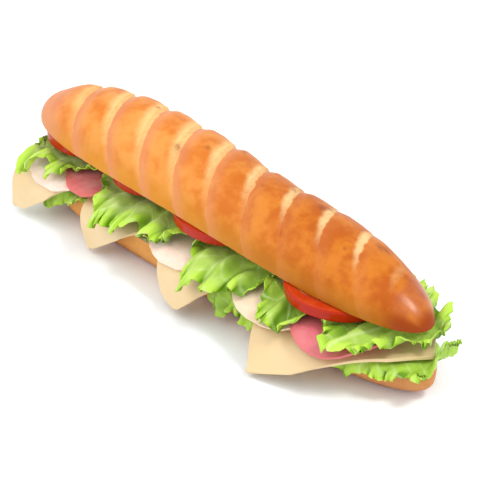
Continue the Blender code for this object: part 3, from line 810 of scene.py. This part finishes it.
def frill_shift(run, inside, seed):
    """How a leaf's edge frills: its lift, and the shift along the edge that makes the folds overhang."""
    lift = shift = 0.0
    for level, (length, size, depth) in enumerate(FRILLS):
        near = (1.0 - smooth_step(inside / depth)) ** 1.2
        if near > 0.0:
            drift = 3.4 * rough(run / length * 0.45, inside / depth * 0.5, seed + 7.0 * level)
            swing = math.tau * run / length + drift
            uneven = 0.75 + 0.9 * rough(run / length * 0.31, 2.0 + level, seed)
            lift += near * size * uneven * math.sin(swing)
            shift -= near * size * uneven * FRILL_OVERHANG * math.sin(2.0 * swing)
    return lift, shift


def make_leaf(name, node, ends, reach_at, height_at, edge_at, frill, material):
    """A leaf across the loaf: its flat grid is bent by the reach and height at each place, then frilled."""
    start, end = ends
    middle = (start + end) / 2
    seed = middle * 300.0
    teeth = min(frill, 1.0)
    places = {}

    def spot(x, row):
        """A point of the leaf's middle surface, how near it is to the edge, and the lift of its frill."""
        share = (x - start) / (end - start)
        in_front = row < 0
        reach = reach_at(x, in_front) * lobe(share)
        reach += teeth * sum(size * rough(x * rate, 3.0 + in_front, seed) for rate, size in TEETH)
        across = row * reach
        to_side = reach - abs(across)
        to_end = min(x - start, end - x)
        to_end += 0.6 * teeth * sum(size * (1.0 + rough(across * rate, 9.0, seed)) for rate, size in TEETH)
        inside = max(0.0, min(to_side, to_end))
        at_end = smooth_step((to_side - to_end) / 0.006 + 0.5)
        run = mix((x + 0.35 * rough(x * 45, 6.0) * across, across + 0.25 * x), at_end)
        lift, shift = frill_shift(run, inside, seed)
        edge = 1.0 - smooth_step(inside / FRILL_EDGE)
        outwards = edge * 0.0016 * rough(run * 210, inside * 120, seed + 3.0)
        sideways = mix((shift, 0.5 * outwards), at_end)
        outwards = mix((outwards, shift), at_end)
        blister = 0.00060 * rough(x * 170, across * 170, 1.0) * (1.0 - edge)
        crumple = CRUMPLE * frill * rough(x * CRUMPLE_RATE, across * CRUMPLE_RATE, seed)
        crumple *= rise(abs(across), *CRUMPLES)
        height = height_at(x, across) + frill * lift + blister + crumple
        height += RIB_HEIGHT * rib_at(x, across, middle)
        point = drape((x + frill * sideways, across + math.copysign(frill * outwards, row), height), edge_at)
        point.z = max(point.z, 0.0010)
        return point, inside, lift + crumple

    def placed(x, row):
        key = (round(x, 6), round(row, 5))
        if key not in places:
            point, inside, lift = spot(x, row)
            along = spot(x + 0.0002, row)[0] - point
            over = spot(x, row + 0.006)[0] - point if row < 0.5 else point - spot(x, row - 0.006)[0]
            places[key] = (point, along.cross(over).normalized(), inside, lift)
        return places[key]

    bm = flat_grid(even_steps(start, end, LEAF_STEP), leaf_rows())
    bmesh.ops.solidify(bm, geom=bm.faces[:], thickness=LEAF_THICKNESS)
    centre = sum(limit(vert.co.z for vert in bm.verts) for limit in (min, max)) / 2
    edges, ribs, crests = (bm.verts.layers.float.new(layer) for layer in ("edge", "rib", "crest"))
    for vert in bm.verts:
        x, row, through = vert.co
        point, normal, inside, lift = placed(x, row)
        vert[edges] = 1.0 - smooth_step(inside / BRIGHT_EDGE)
        vert[ribs] = rib_at(x, row * reach_at(x, row < 0), middle)
        # The crest follows the frill's lift; the lettuce colour reads it for painted light on crests and
        # painted shade in hollows
        vert[crests] = 0.5 + lift / FULL_CREST
        vert.co = point + normal * (through - centre)
    return add_piece(name, bm, material, node, math.radians(80))


def upper_reach(x, in_front, leaf):
    """How far an upper leaf reaches from the middle of the loaf; it narrows with the loaf at its tip."""
    start, end, front_reach, start_corner, end_corner = leaf
    reach = front_reach if in_front else UPPER_BACK_REACH
    reach += UPPER_REACH_SWING * math.cos(x / UPPER_REACH_SWING_LENGTH)
    if in_front:
        reach *= mix((start_corner[0], 1.0), rise(x, start, start_corner[1]))
        reach *= mix((end_corner[0], 1.0), fall(x, end, end_corner[1]))
    past_loaf = TOP_HALF_WIDTH * top_taper(max(x, 0.0)) + UPPER_PAST_LOAF[in_front]
    at_tip = rise(x, *UPPER_TIP)
    return min(reach, mix((past_loaf, UPPER_TIP_REACH[in_front]), at_tip))


def upper_height(x, across):
    """Height of an upper leaf: it swells towards its edges, and curls up behind the narrow tip."""
    edge = rise(abs(across), *UPPER_SWELLS)
    end = rise(x, *UPPER_END)
    end_wave = math.sin(across / UPPER_END_WAVE_LENGTH + UPPER_END_WAVE_START)
    wave = mix((ruffle(x, across), end_wave), end)
    height = mix((UPPER_INNER_SWELL, UPPER_SWELL), max(edge, end)) * (wave + UPPER_SWELL_OFFSET)
    past_loaf = across - TOP_HALF_WIDTH * top_taper(x)
    curl = rise(x, *UPPER_CURLS) * rise(past_loaf, *UPPER_CURL_SPREAD)
    return UPPER_LEAF_LEVEL + height - UPPER_END_SINK * end + UPPER_CURL * curl


def make_upper_lettuce(material, frill):
    leaves = zip(UPPER_LEAVES, UPPER_LIFTS, UPPER_FRILLS)
    for number, (leaf, lift, strength) in enumerate(leaves, start=1):

        def reach_at(x, in_front, leaf=leaf):
            return upper_reach(x, in_front, leaf)

        def height_at(x, across, leaf=leaf, lift=lift):
            past = -across - upper_reach(x, True, leaf) + UPPER_FRONT_EDGE
            return upper_height(x, across) + lift * smooth_step(past / UPPER_FRONT_EDGE)

        name = f"upper_leaf_{number}"
        node = f"lettuce_upper_{number}"
        make_leaf(name, node, leaf[:2], reach_at, height_at, filling_edge, strength * frill, material)


def lower_reach(x, in_front):
    """How far a lower leaf reaches from the middle of the loaf, with its tongues in front."""
    tongues = sum(length * math.exp(-(((x - at) / width) ** 2)) for at, width, length in LOWER_TONGUES)
    hang = mix(LOWER_END_HANG, rise(x, *LOWER_END_HANGS))
    if not in_front:
        hang *= mix((1.0, LOWER_BACK_AT_TIP), rise(x, *LOWER_TIP))
    hanging = lower_leaf_edge(x, 0.0)[0] + hang
    reach = mix((LOWER_REACH, hanging), rise(x, *LOWER_END))
    return reach + tongues * in_front


def lower_height(x, across):
    """Height of a lower leaf: it swells past the bread, and curls up behind the narrow tip."""
    past_bun = smooth_step((abs(across) - lower_leaf_edge(x, 0.0)[0]) / LOWER_SWELLS_OVER)
    tip = rise(x, *LOWER_TIP)
    wave = mix((ruffle(x + LOWER_WAVE_SHIFT, across), math.sin(across / LOWER_TIP_WAVE_LENGTH)), tip)
    height = mix((LOWER_INNER_SWELL, LOWER_SWELL), max(past_bun, tip)) * wave
    curl = rise(x, *LOWER_CURLS) * rise(across, *LOWER_CURL_SPREAD)
    return LOWER_LEAF_LEVEL + height + LOWER_CURL * curl


def make_lower_lettuce(material, frill):
    for number, ends in enumerate(LOWER_LEAVES, start=1):
        name = f"lower_leaf_{number}"
        node = f"lettuce_lower_{number}"
        make_leaf(name, node, ends, lower_reach, lower_height, lower_leaf_edge, 0.8 * frill, material)


# Materials


def add_node(tree, kind, values=(), **settings):
    """A node with its settings, and the values of its inputs by name or number."""
    node = tree.nodes.new(kind)
    for setting, value in settings.items():
        setattr(node, setting, value)
    for socket, value in dict(values).items():
        node.inputs[socket].default_value = value
    return node


def colour4(colour):
    return (*colour[:3], 1.0)


def blend_colours(tree, factor, first, second):
    """A mix of two colours, each a colour or another node's output, by a factor that is either too."""
    node = add_node(tree, "ShaderNodeMix", data_type="RGBA")
    for socket, value in ((node.inputs[0], factor), (node.inputs[6], first), (node.inputs[7], second)):
        if isinstance(value, bpy.types.NodeSocket):
            tree.links.new(value, socket)
        else:
            socket.default_value = value if isinstance(value, float) else colour4(value)
    return node.outputs[2]


def calculate(tree, operation, first, second, clamp=False):
    node = add_node(tree, "ShaderNodeMath", operation=operation, use_clamp=clamp)
    for socket, value in ((node.inputs[0], first), (node.inputs[1], second)):
        if isinstance(value, bpy.types.NodeSocket):
            tree.links.new(value, socket)
        else:
            socket.default_value = value
    return node.outputs[0]


def times(tree, first, second):
    return calculate(tree, "MULTIPLY", first, second)


def ramp(tree, value, low, high, first=0.0, second=1.0):
    """Maps a value from one range to another, without going past its ends."""
    node = add_node(
        tree,
        "ShaderNodeMapRange",
        {"From Min": low, "From Max": high, "To Min": first, "To Max": second},
        clamp=True,
        interpolation_type="SMOOTHSTEP",
    )
    tree.links.new(value, node.inputs["Value"])
    return node.outputs["Result"]


def attribute(tree, name):
    return add_node(tree, "ShaderNodeAttribute", attribute_name=name).outputs["Fac"]


def along_loaf(tree, place, first, second):
    """A value that changes from the far end of the filling to its near end."""
    separate = add_node(tree, "ShaderNodeSeparateXYZ")
    tree.links.new(place, separate.inputs["Vector"])
    return ramp(tree, separate.outputs["X"], FAR_FILLING, NEAR_FILLING, first, second)


def grain_group():
    """Node group that gives a soft mottle and a fine grain on the coordinates it is given."""
    if "food grain" in bpy.data.node_groups:
        return bpy.data.node_groups["food grain"]
    tree = bpy.data.node_groups.new("food grain", "ShaderNodeTree")
    tree.interface.new_socket("Coordinates", in_out="INPUT", socket_type="NodeSocketVector")
    for name, size in (("Mottle Scale", 60.0), ("Grain Scale", 900.0), ("Roughness", 0.6)):
        socket = tree.interface.new_socket(name, in_out="INPUT", socket_type="NodeSocketFloat")
        socket.default_value = size
    tree.interface.new_socket("Mottle", in_out="OUTPUT", socket_type="NodeSocketFloat")
    tree.interface.new_socket("Grain", in_out="OUTPUT", socket_type="NodeSocketFloat")
    source = add_node(tree, "NodeGroupInput")
    result = add_node(tree, "NodeGroupOutput")
    for scale, output, detail in (("Mottle Scale", "Mottle", 4.0), ("Grain Scale", "Grain", 3.0)):
        texture = add_node(tree, "ShaderNodeTexNoise", {"Detail": detail})
        tree.links.new(source.outputs["Coordinates"], texture.inputs["Vector"])
        tree.links.new(source.outputs[scale], texture.inputs["Scale"])
        tree.links.new(source.outputs["Roughness"], texture.inputs["Roughness"])
        tree.links.new(texture.outputs["Fac"], result.inputs[output])
    return tree


def new_finish(name, mottle, grain):
    """A material with its shader and the food grain on Object coordinates."""
    material = bpy.data.materials.new(name)
    material.use_nodes = True
    tree = material.node_tree
    shader = tree.nodes["Principled BSDF"]
    place = add_node(tree, "ShaderNodeTexCoord").outputs["Object"]
    group = add_node(tree, "ShaderNodeGroup", node_tree=grain_group())
    group.inputs["Mottle Scale"].default_value = mottle
    group.inputs["Grain Scale"].default_value = grain
    tree.links.new(place, group.inputs["Coordinates"])
    return material, tree, shader, place, group.outputs["Mottle"], group.outputs["Grain"]


def add_bump(tree, shader, height, strength, distance):
    bump = add_node(tree, "ShaderNodeBump", {"Strength": strength, "Distance": distance})
    tree.links.new(height, bump.inputs["Height"])
    tree.links.new(bump.outputs["Normal"], shader.inputs["Normal"])


def bread_finish(loaf):
    """Golden crust with torn cream scores and bake, painted shade in pinkish tones on the rise of each piece,
    partly painted shade low on its sides, and the open crumb of the cut faces with painted shade in its
    pores.
    """
    material, tree, shader, place, mottle, grain = new_finish("scored_crust", 70.0, 1500.0)
    cream, shade_blush, bake, tan, brown_and_shade, spots, crumb = (attribute(tree, name) for name in BREAD_MARKS)
    patches = ramp(tree, mottle, 0.36, 0.64)
    colour = blend_colours(tree, patches, loaf.golden, loaf.amber)
    deep = blend_colours(tree, patches, loaf.baked, loaf.baked_deep)
    colour = blend_colours(tree, bake, colour, deep)
    # Partly painted shade along the lower edge
    shaded_tan = blend_colours(tree, bake, loaf.tan, loaf.tan_and_shade_deep)
    colour = blend_colours(tree, times(tree, tan, 0.80), colour, shaded_tan)
    # Painted shade: the pinkish tone on the rise of each piece
    colour = blend_colours(tree, times(tree, shade_blush, 0.75), colour, loaf.shade_blush)
    # Partly painted shade under the narrow tip
    colour = blend_colours(tree, times(tree, brown_and_shade, 0.85), colour, loaf.brown_and_shade)
    streaks = add_node(tree, "ShaderNodeTexNoise", {"Scale": 420.0, "Detail": 4.0})
    stretch = add_node(tree, "ShaderNodeMapping", {"Scale": (2.6, 0.6, 0.6)})
    tree.links.new(place, stretch.inputs["Vector"])
    tree.links.new(stretch.outputs["Vector"], streaks.inputs["Vector"])
    fibres = ramp(tree, streaks.outputs["Fac"], 0.30, 0.60, 0.72, 1.0)
    torn_colour = blend_colours(tree, bake, loaf.cream, loaf.pale_cream)
    colour = blend_colours(tree, times(tree, cream, fibres), colour, torn_colour)
    charred = times(tree, spots, ramp(tree, grain, 0.35, 0.60, 0.25, 0.85))
    colour = blend_colours(tree, charred, colour, loaf.blister)
    cells = add_node(tree, "ShaderNodeTexVoronoi", {"Scale": 520.0, "Randomness": 1.0})
    tree.links.new(place, cells.inputs["Vector"])
    hollow = ramp(tree, cells.outputs["Distance"], 0.10, 0.55)
    # Painted shade: the crumb is darker inside its pores
    crumb_colour = blend_colours(tree, hollow, loaf.pore_shade, loaf.crumb)
    colour = blend_colours(tree, crumb, colour, crumb_colour)
    tree.links.new(colour, shader.inputs["Base Color"])
    gloss = ramp(tree, grain, 0.2, 0.8, 0.36, 0.50)
    dull = calculate(tree, "MAXIMUM", times(tree, cream, 0.70), crumb)
    roughness = calculate(tree, "ADD", gloss, times(tree, dull, 0.40), clamp=True)
    tree.links.new(roughness, shader.inputs["Roughness"])
    fine = times(tree, grain, 0.35)
    torn = times(tree, times(tree, streaks.outputs["Fac"], cream), 1.2)
    open_pores = times(tree, times(tree, hollow, crumb), 1.6)
    height = calculate(tree, "ADD", calculate(tree, "ADD", fine, torn), open_pores)
    add_bump(tree, shader, height, 0.35, 0.0006)
    shader.inputs["Specular IOR Level"].default_value = 0.13
    shader.inputs["Coat Roughness"].default_value = 0.32
    polish = ramp(tree, bake, 0.90, 1.0, 0.0, 0.80)
    bare = calculate(tree, "SUBTRACT", 1.0, brown_and_shade)
    tree.links.new(times(tree, polish, bare), shader.inputs["Coat Weight"])
    return material


def cheese_finish(filling):
    """Soft pale cheese with a faint mottle, a waxy surface and a few specks, darkening towards the near end
    as painted shade.
    """
    material, tree, shader, place, mottle, grain = new_finish("soft_cheese", 45.0, 700.0)
    colour = blend_colours(tree, ramp(tree, mottle, 0.3, 0.7), filling.cheese, filling.cheese_deep)
    rim = times(tree, attribute(tree, "rim"), 0.25)
    # Painted shade: the cheese darkens towards the near end, and a little at its rim
    rim_and_painted_shade = calculate(tree, "MAXIMUM", rim, along_loaf(tree, place, 0.0, 0.80))
    colour = blend_colours(tree, rim_and_painted_shade, colour, filling.cheese_deep)
    cells = add_node(tree, "ShaderNodeTexVoronoi", {"Scale": 75.0, "Randomness": 1.0})
    tree.links.new(place, cells.inputs["Vector"])
    specks = ramp(tree, cells.outputs["Distance"], 0.030, 0.055, 0.75, 0.0)
    colour = blend_colours(tree, specks, colour, filling.cheese_speck)
    tree.links.new(colour, shader.inputs["Base Color"])
    tree.links.new(ramp(tree, grain, 0.2, 0.8, 0.40, 0.56), shader.inputs["Roughness"])
    height = calculate(tree, "SUBTRACT", times(tree, grain, 0.3), specks)
    add_bump(tree, shader, height, 0.25, 0.0004)
    return material


def meat_finish(name, pale, deep, rim_colour, rim_share, near):
    """Moist sliced meat: marbled, with a rim of its own colour and another tone towards the near end, which
    is painted light: warm on the ham, shade on the salami.
    """
    material, tree, shader, place, mottle, grain = new_finish(name, 130.0, 1300.0)
    marbled = blend_colours(tree, ramp(tree, mottle, 0.36, 0.64), pale, deep)
    rim = times(tree, attribute(tree, "rim"), rim_share)
    colour = blend_colours(tree, rim, marbled, rim_colour)
    flecks = add_node(tree, "ShaderNodeTexVoronoi", {"Scale": 420.0, "Randomness": 1.0})
    tree.links.new(place, flecks.inputs["Vector"])
    fat = ramp(tree, flecks.outputs["Distance"], 0.16, 0.30, 0.35, 0.0)
    colour = blend_colours(tree, fat, colour, pale)
    # Painted light towards the near end: warm bounce on the ham, shade on the salami
    colour = blend_colours(tree, along_loaf(tree, place, 0.0, 0.60), colour, near)
    tree.links.new(colour, shader.inputs["Base Color"])
    tree.links.new(ramp(tree, grain, 0.2, 0.8, 0.26, 0.46), shader.inputs["Roughness"])
    add_bump(tree, shader, calculate(tree, "ADD", grain, mottle), 0.25, 0.0004)
    shader.inputs["Specular IOR Level"].default_value = 0.35
    return material


def tomato_finish(filling):
    """Wet tomato: glossy skin, paler flesh, and seed chambers with their seeds."""
    material, tree, shader, place, mottle, grain = new_finish("wet_tomato", 110.0, 1200.0)
    skin, chamber, seeds = (attribute(tree, name) for name in ("skin", "chamber", "seeds"))
    flesh = blend_colours(tree, ramp(tree, mottle, 0.3, 0.7), filling.tomato_flesh, filling.tomato_pale)
    colour = blend_colours(tree, chamber, flesh, filling.tomato_gel)
    colour = blend_colours(tree, seeds, colour, filling.tomato_seed)
    skinned = blend_colours(tree, ramp(tree, mottle, 0.35, 0.7), filling.tomato_skin, filling.tomato_deep)
    colour = blend_colours(tree, skin, colour, skinned)
    tree.links.new(colour, shader.inputs["Base Color"])
    tree.links.new(ramp(tree, grain, 0.2, 0.8, 0.16, 0.30), shader.inputs["Roughness"])
    add_bump(tree, shader, grain, 0.12, 0.0003)
    shader.inputs["Specular IOR Level"].default_value = 0.22
    return material


def lettuce_finish(lettuce, depth):
    """Crisp leaf: pale by its ribs, with painted shade in its hollows, and bright at its frilled edge,
    lightest on the crests as painted light.

    The depth, from 0 to 1, takes the pale inner tones towards the green of the edge."""
    material, tree, shader, place, mottle, grain = new_finish("crisp_lettuce", 120.0, 1100.0)
    edge, rib, crest = (attribute(tree, name) for name in ("edge", "rib", "crest"))
    colour = blend_colours(tree, ramp(tree, mottle, 0.34, 0.66), lettuce.pale, lettuce.inner)
    green = calculate(tree, "MAXIMUM", edge, along_loaf(tree, place, depth, max(depth, lettuce.near_depth)))
    colour = blend_colours(tree, green, colour, lettuce.leaf)
    # Painted light: the frilled edge is lightest where its frills crest
    crests = times(tree, edge, ramp(tree, crest, 0.30, 0.75))
    colour = blend_colours(tree, crests, colour, lettuce.frill_and_crest_light)
    # Painted shade in the hollows of the ruffles
    colour = blend_colours(tree, ramp(tree, crest, 0.47, 0.12, 0.0, 0.85), colour, lettuce.shade)
    colour = blend_colours(tree, times(tree, rib, 0.65), colour, lettuce.rib)
    tree.links.new(colour, shader.inputs["Base Color"])
    tree.links.new(ramp(tree, grain, 0.2, 0.8, 0.32, 0.48), shader.inputs["Roughness"])
    add_bump(tree, shader, calculate(tree, "ADD", grain, mottle), 0.25, 0.0005)
    shader.inputs["Specular IOR Level"].default_value = 0.18
    return material


# Settings


def colour_setting(name, description, default):
    return FloatVectorProperty(
        name=name, description=description, subtype="COLOR", size=3, min=0.0, max=1.0, default=default
    )


def share_setting(name, description, default, most=1.0):
    return FloatProperty(
        name=name, description=description, subtype="FACTOR", min=0.0, max=most, default=default
    )


def power_setting(name, description, default):
    return FloatProperty(
        name=name, description=description, subtype="POWER", unit="POWER", min=0.0, default=default
    )


class LoafSettings(bpy.types.PropertyGroup):
    """Relief and colours of the bread"""

    relief: share_setting("Relief", "Strength of the scores in the crust", 1.0, 1.2)
    golden: colour_setting("Golden", "Lighter tone of the crust", (0.70, 0.275, 0.058))
    amber: colour_setting("Amber", "Deeper tone of the crust", (0.61, 0.175, 0.020))
    baked: colour_setting("Baked", "Lighter tone of the crust towards the narrow tip", (0.50, 0.135, 0.002))
    baked_deep: colour_setting("Baked, deep", "Deeper tone towards the narrow tip", (0.37, 0.070, 0.001))
    # Partly the crust's own tone, partly painted shade along the cut
    tan: colour_setting("Tan", "Crust along the cut", (0.58, 0.225, 0.012))
    tan_and_shade_deep: colour_setting("Tan, deep", "Crust along the cut towards the narrow tip", (0.32, 0.095, 0.001))
    # Painted shade on the rise of each piece
    shade_blush: colour_setting("Blush", "Crust on the rise of each piece", (0.64, 0.240, 0.120))
    # Partly the crust's own dark tone, partly painted shade under the narrow tip
    brown_and_shade: colour_setting("Brown", "Dark crust under the narrow tip", (0.24, 0.026, 0.001))
    cream: colour_setting("Cream", "Torn crust in the scores", (0.83, 0.55, 0.23))
    pale_cream: colour_setting("Pale cream", "Torn crust towards the narrow tip", (0.78, 0.55, 0.27))
    blister: colour_setting("Blister", "Small dark blisters of the crust", (0.20, 0.045, 0.012))
    crumb: colour_setting("Crumb", "Crumb of the cut faces", (0.86, 0.74, 0.52))
    # Painted shade inside the pores of the crumb
    pore_shade: colour_setting("Pore", "Inside of the pores of the crumb", (0.62, 0.46, 0.26))


class FillingSettings(bpy.types.PropertyGroup):
    """Colours of the cheese, the meat and the tomato"""

    cheese: colour_setting("Cheese", "Lighter tone of the cheese", (0.73, 0.55, 0.32))
    # Also the painted shade of the cheese towards the near end
    cheese_deep: colour_setting("Cheese, deep", "Deeper tone of the cheese", (0.69, 0.50, 0.26))
    cheese_speck: colour_setting("Cheese speck", "Small specks in the cheese", (0.36, 0.24, 0.08))
    ham: colour_setting("Ham", "Lighter tone of the ham", (0.90, 0.74, 0.68))
    ham_deep: colour_setting("Ham, deep", "Deeper tone of the ham", (0.86, 0.60, 0.54))
    ham_rim: colour_setting("Ham rim", "Rim of the ham", (0.84, 0.58, 0.44))
    salami: colour_setting("Salami", "Lighter tone of the salami", (0.64, 0.23, 0.22))
    salami_deep: colour_setting("Salami, deep", "Deeper tone of the salami", (0.60, 0.13, 0.15))
    salami_rim: colour_setting("Salami rim", "Rim of the salami", (0.62, 0.13, 0.10))
    tomato_skin: colour_setting("Tomato skin", "Skin of the tomato", (0.41, 0.017, 0.001))
    tomato_deep: colour_setting("Tomato skin, deep", "Deeper tone of the skin", (0.40, 0.012, 0.001))
    tomato_flesh: colour_setting("Tomato flesh", "Wall of the tomato", (0.43, 0.028, 0.002))
    tomato_pale: colour_setting("Tomato flesh, pale", "Paler wall of the tomato", (0.50, 0.052, 0.007))
    tomato_gel: colour_setting("Tomato gel", "Seed chambers", (0.62, 0.07, 0.02))
    tomato_seed: colour_setting("Tomato seed", "Seeds", (0.82, 0.50, 0.18))


class LettuceSettings(bpy.types.PropertyGroup):
    """Frill and colours of the lettuce"""

    frill: share_setting("Frill", "Strength of the frills at the edges", 1.0, 1.5)
    depth: share_setting("Depth", "Greenness of the lower leaves", 0.65)
    near_depth: share_setting("Near depth", "Greenness at the near end", 0.55)
    pale: colour_setting("Pale", "Pale inner leaf", (0.46, 0.58, 0.20))
    inner: colour_setting("Inner", "Greener inner leaf", (0.35, 0.50, 0.10))
    leaf: colour_setting("Leaf", "Leaf near its edge", (0.30, 0.53, 0.015))
    # Its own brighter edge, lightest on the crests as painted light
    frill_and_crest_light: colour_setting("Frill colour", "Crests of the frilled edge", (0.46, 0.69, 0.075))
    # Painted shade in the hollows of the ruffles
    shade: colour_setting("Shade", "Hollows of the ruffles", (0.10, 0.22, 0.003))
    rib: colour_setting("Rib", "Ribs of the leaf", (0.56, 0.68, 0.28))


class StageSettings(bpy.types.PropertyGroup):
    """Floor and light"""

    floor: colour_setting("Floor", "Pale floor", (0.94, 0.975, 0.995))
    key: power_setting("Key light", "Power of the main light", 8.0)
    fill: power_setting("Fill light", "Power of the fill light", 12.0)
    sky: FloatProperty(name="Sky", description="Strength of the even light all round", default=0.98, min=0.0)


# Operators


class SANDWICH_OT_loaf(bpy.types.Operator):
    """Make both halves of the loaf"""

    bl_idname = "sandwich.loaf"
    bl_label = "Loaf"

    def execute(self, context):
        loaf = context.scene.sandwich_loaf
        bread = bread_finish(loaf)
        make_loaf_top(bread, loaf.relief)
        make_loaf_base(bread)
        return {"FINISHED"}


class SANDWICH_OT_lower_lettuce(bpy.types.Operator):
    """Make the lettuce on the lower half"""

    bl_idname = "sandwich.lower_lettuce"
    bl_label = "Lower lettuce"

    def execute(self, context):
        lettuce = context.scene.sandwich_lettuce
        make_lower_lettuce(lettuce_finish(lettuce, lettuce.depth), lettuce.frill)
        return {"FINISHED"}


class SANDWICH_OT_cheese(bpy.types.Operator):
    """Make the cheese slices"""

    bl_idname = "sandwich.cheese"
    bl_label = "Cheese"

    def execute(self, context):
        make_cheese(cheese_finish(context.scene.sandwich_filling))
        return {"FINISHED"}


class SANDWICH_OT_meat(bpy.types.Operator):
    """Make the ham and the salami"""

    bl_idname = "sandwich.meat"
    bl_label = "Ham and salami"

    def execute(self, context):
        filling = context.scene.sandwich_filling
        # The ham warms to the cheese colour towards the near end as painted bounce light; the salami darkens
        # there as painted shade
        ham = (filling.ham, filling.ham_deep, filling.ham_rim, 0.45, filling.cheese)
        deep = filling.salami_deep
        salami = (filling.salami, deep, filling.salami_rim, 0.70, deep)
        make_meat(meat_finish("moist_ham", *ham), meat_finish("moist_salami", *salami))
        return {"FINISHED"}


class SANDWICH_OT_upper_lettuce(bpy.types.Operator):
    """Make the ruffled lettuce under the tomato"""

    bl_idname = "sandwich.upper_lettuce"
    bl_label = "Upper lettuce"

    def execute(self, context):
        lettuce = context.scene.sandwich_lettuce
        make_upper_lettuce(lettuce_finish(lettuce, 0.0), lettuce.frill)
        return {"FINISHED"}


class SANDWICH_OT_tomato(bpy.types.Operator):
    """Make the tomato slices"""

    bl_idname = "sandwich.tomato"
    bl_label = "Tomato"

    def execute(self, context):
        make_tomatoes(tomato_finish(context.scene.sandwich_filling))
        return {"FINISHED"}


def add_light(name, place, size, power):
    light = bpy.data.lights.new(name, "AREA")
    light.shape = "DISK"
    light.size = size
    light.energy = power
    lamp = bpy.data.objects.new(name, light)
    lamp.location = place
    lamp.rotation_euler = (Vector(LIGHT_AIM) - Vector(place)).to_track_quat("-Z", "Y").to_euler()
    bpy.context.scene.collection.objects.link(lamp)


def add_camera():
    """The camera of the photograph: its angle, its distance and its lens."""
    level = math.cos(CAMERA_HEIGHT_ANGLE)
    sine, cosine = math.sin(CAMERA_AZIMUTH), math.cos(CAMERA_AZIMUTH)
    back = Vector((sine * level, -cosine * level, math.sin(CAMERA_HEIGHT_ANGLE)))
    right = Vector((cosine, sine, 0.0))
    up = back.cross(right)
    target = CENTRE_SHIFT + Vector((0.0, 0.0, CAMERA_TARGET_HEIGHT))
    aim = target + right * CAMERA_AIM_RIGHT - up * CAMERA_AIM_DOWN
    lens = bpy.data.cameras.new("photo_camera")
    lens.lens = CAMERA_LENS
    lens.sensor_width = CAMERA_SENSOR
    camera = bpy.data.objects.new("photo_camera", lens)
    camera.location = aim + back * CAMERA_DISTANCE
    camera.rotation_euler = back.to_track_quat("Z", "Y").to_euler()
    bpy.context.scene.collection.objects.link(camera)
    bpy.context.scene.camera = camera


class SANDWICH_OT_stage(bpy.types.Operator):
    """Make the floor, the studio light and the camera"""

    bl_idname = "sandwich.stage"
    bl_label = "Stage"

    def execute(self, context):
        stage = context.scene.sandwich_stage
        bm = bmesh.new()
        bmesh.ops.create_grid(bm, x_segments=1, y_segments=1, size=FLOOR_HALF_SIZE)
        mesh = bpy.data.meshes.new("floor")
        bm.to_mesh(mesh)
        bm.free()
        material = bpy.data.materials.new("pale_floor")
        material.use_nodes = True
        shader = material.node_tree.nodes["Principled BSDF"]
        shader.inputs["Base Color"].default_value = colour4(stage.floor)
        shader.inputs["Roughness"].default_value = 0.85
        mesh.materials.append(material)
        floor = bpy.data.objects.new("floor", mesh)
        context.scene.collection.objects.link(floor)
        world = bpy.data.worlds.new("soft_sky")
        world.use_nodes = True
        background = world.node_tree.nodes["Background"]
        background.inputs["Color"].default_value = (1.0, 1.0, 1.0, 1.0)
        background.inputs["Strength"].default_value = stage.sky
        context.scene.world = world
        context.scene.view_settings.view_transform = "Standard"
        add_light("key_light", KEY_PLACE, KEY_SIZE, stage.key)
        add_light("fill_light", FILL_PLACE, FILL_SIZE, stage.fill)
        add_camera()
        return {"FINISHED"}


class SANDWICH_PT_panel(bpy.types.Panel):
    """Buttons and settings of the sandwich"""

    bl_idname = "SANDWICH_PT_panel"
    bl_label = "Submarine sandwich"
    bl_space_type = "VIEW_3D"
    bl_region_type = "UI"
    bl_category = "Sandwich"

    def draw(self, context):
        layout = self.layout
        for operator in OPERATORS:
            layout.operator(operator.bl_idname)
        for name in ("sandwich_loaf", "sandwich_filling", "sandwich_lettuce", "sandwich_stage"):
            settings = getattr(context.scene, name)
            box = layout.box()
            for setting in settings.__annotations__:
                box.prop(settings, setting)


OPERATORS = (
    SANDWICH_OT_loaf,
    SANDWICH_OT_lower_lettuce,
    SANDWICH_OT_cheese,
    SANDWICH_OT_meat,
    SANDWICH_OT_upper_lettuce,
    SANDWICH_OT_tomato,
    SANDWICH_OT_stage,
)
SETTINGS = {
    "sandwich_loaf": LoafSettings,
    "sandwich_filling": FillingSettings,
    "sandwich_lettuce": LettuceSettings,
    "sandwich_stage": StageSettings,
}


def register():
    for name, group in SETTINGS.items():
        bpy.utils.register_class(group)
        setattr(bpy.types.Scene, name, PointerProperty(type=group))
    for operator in OPERATORS:
        bpy.utils.register_class(operator)
    bpy.utils.register_class(SANDWICH_PT_panel)


def unregister():
    bpy.utils.unregister_class(SANDWICH_PT_panel)
    for operator in reversed(OPERATORS):
        bpy.utils.unregister_class(operator)
    for name, group in reversed(SETTINGS.items()):
        delattr(bpy.types.Scene, name)
        bpy.utils.unregister_class(group)


def main():
    register()
    bpy.ops.sandwich.loaf()
    bpy.ops.sandwich.lower_lettuce()
    bpy.ops.sandwich.cheese()
    bpy.ops.sandwich.meat()
    bpy.ops.sandwich.upper_lettuce()
    bpy.ops.sandwich.tomato()
    bpy.ops.sandwich.stage()


if __name__ == "__main__":
    main()
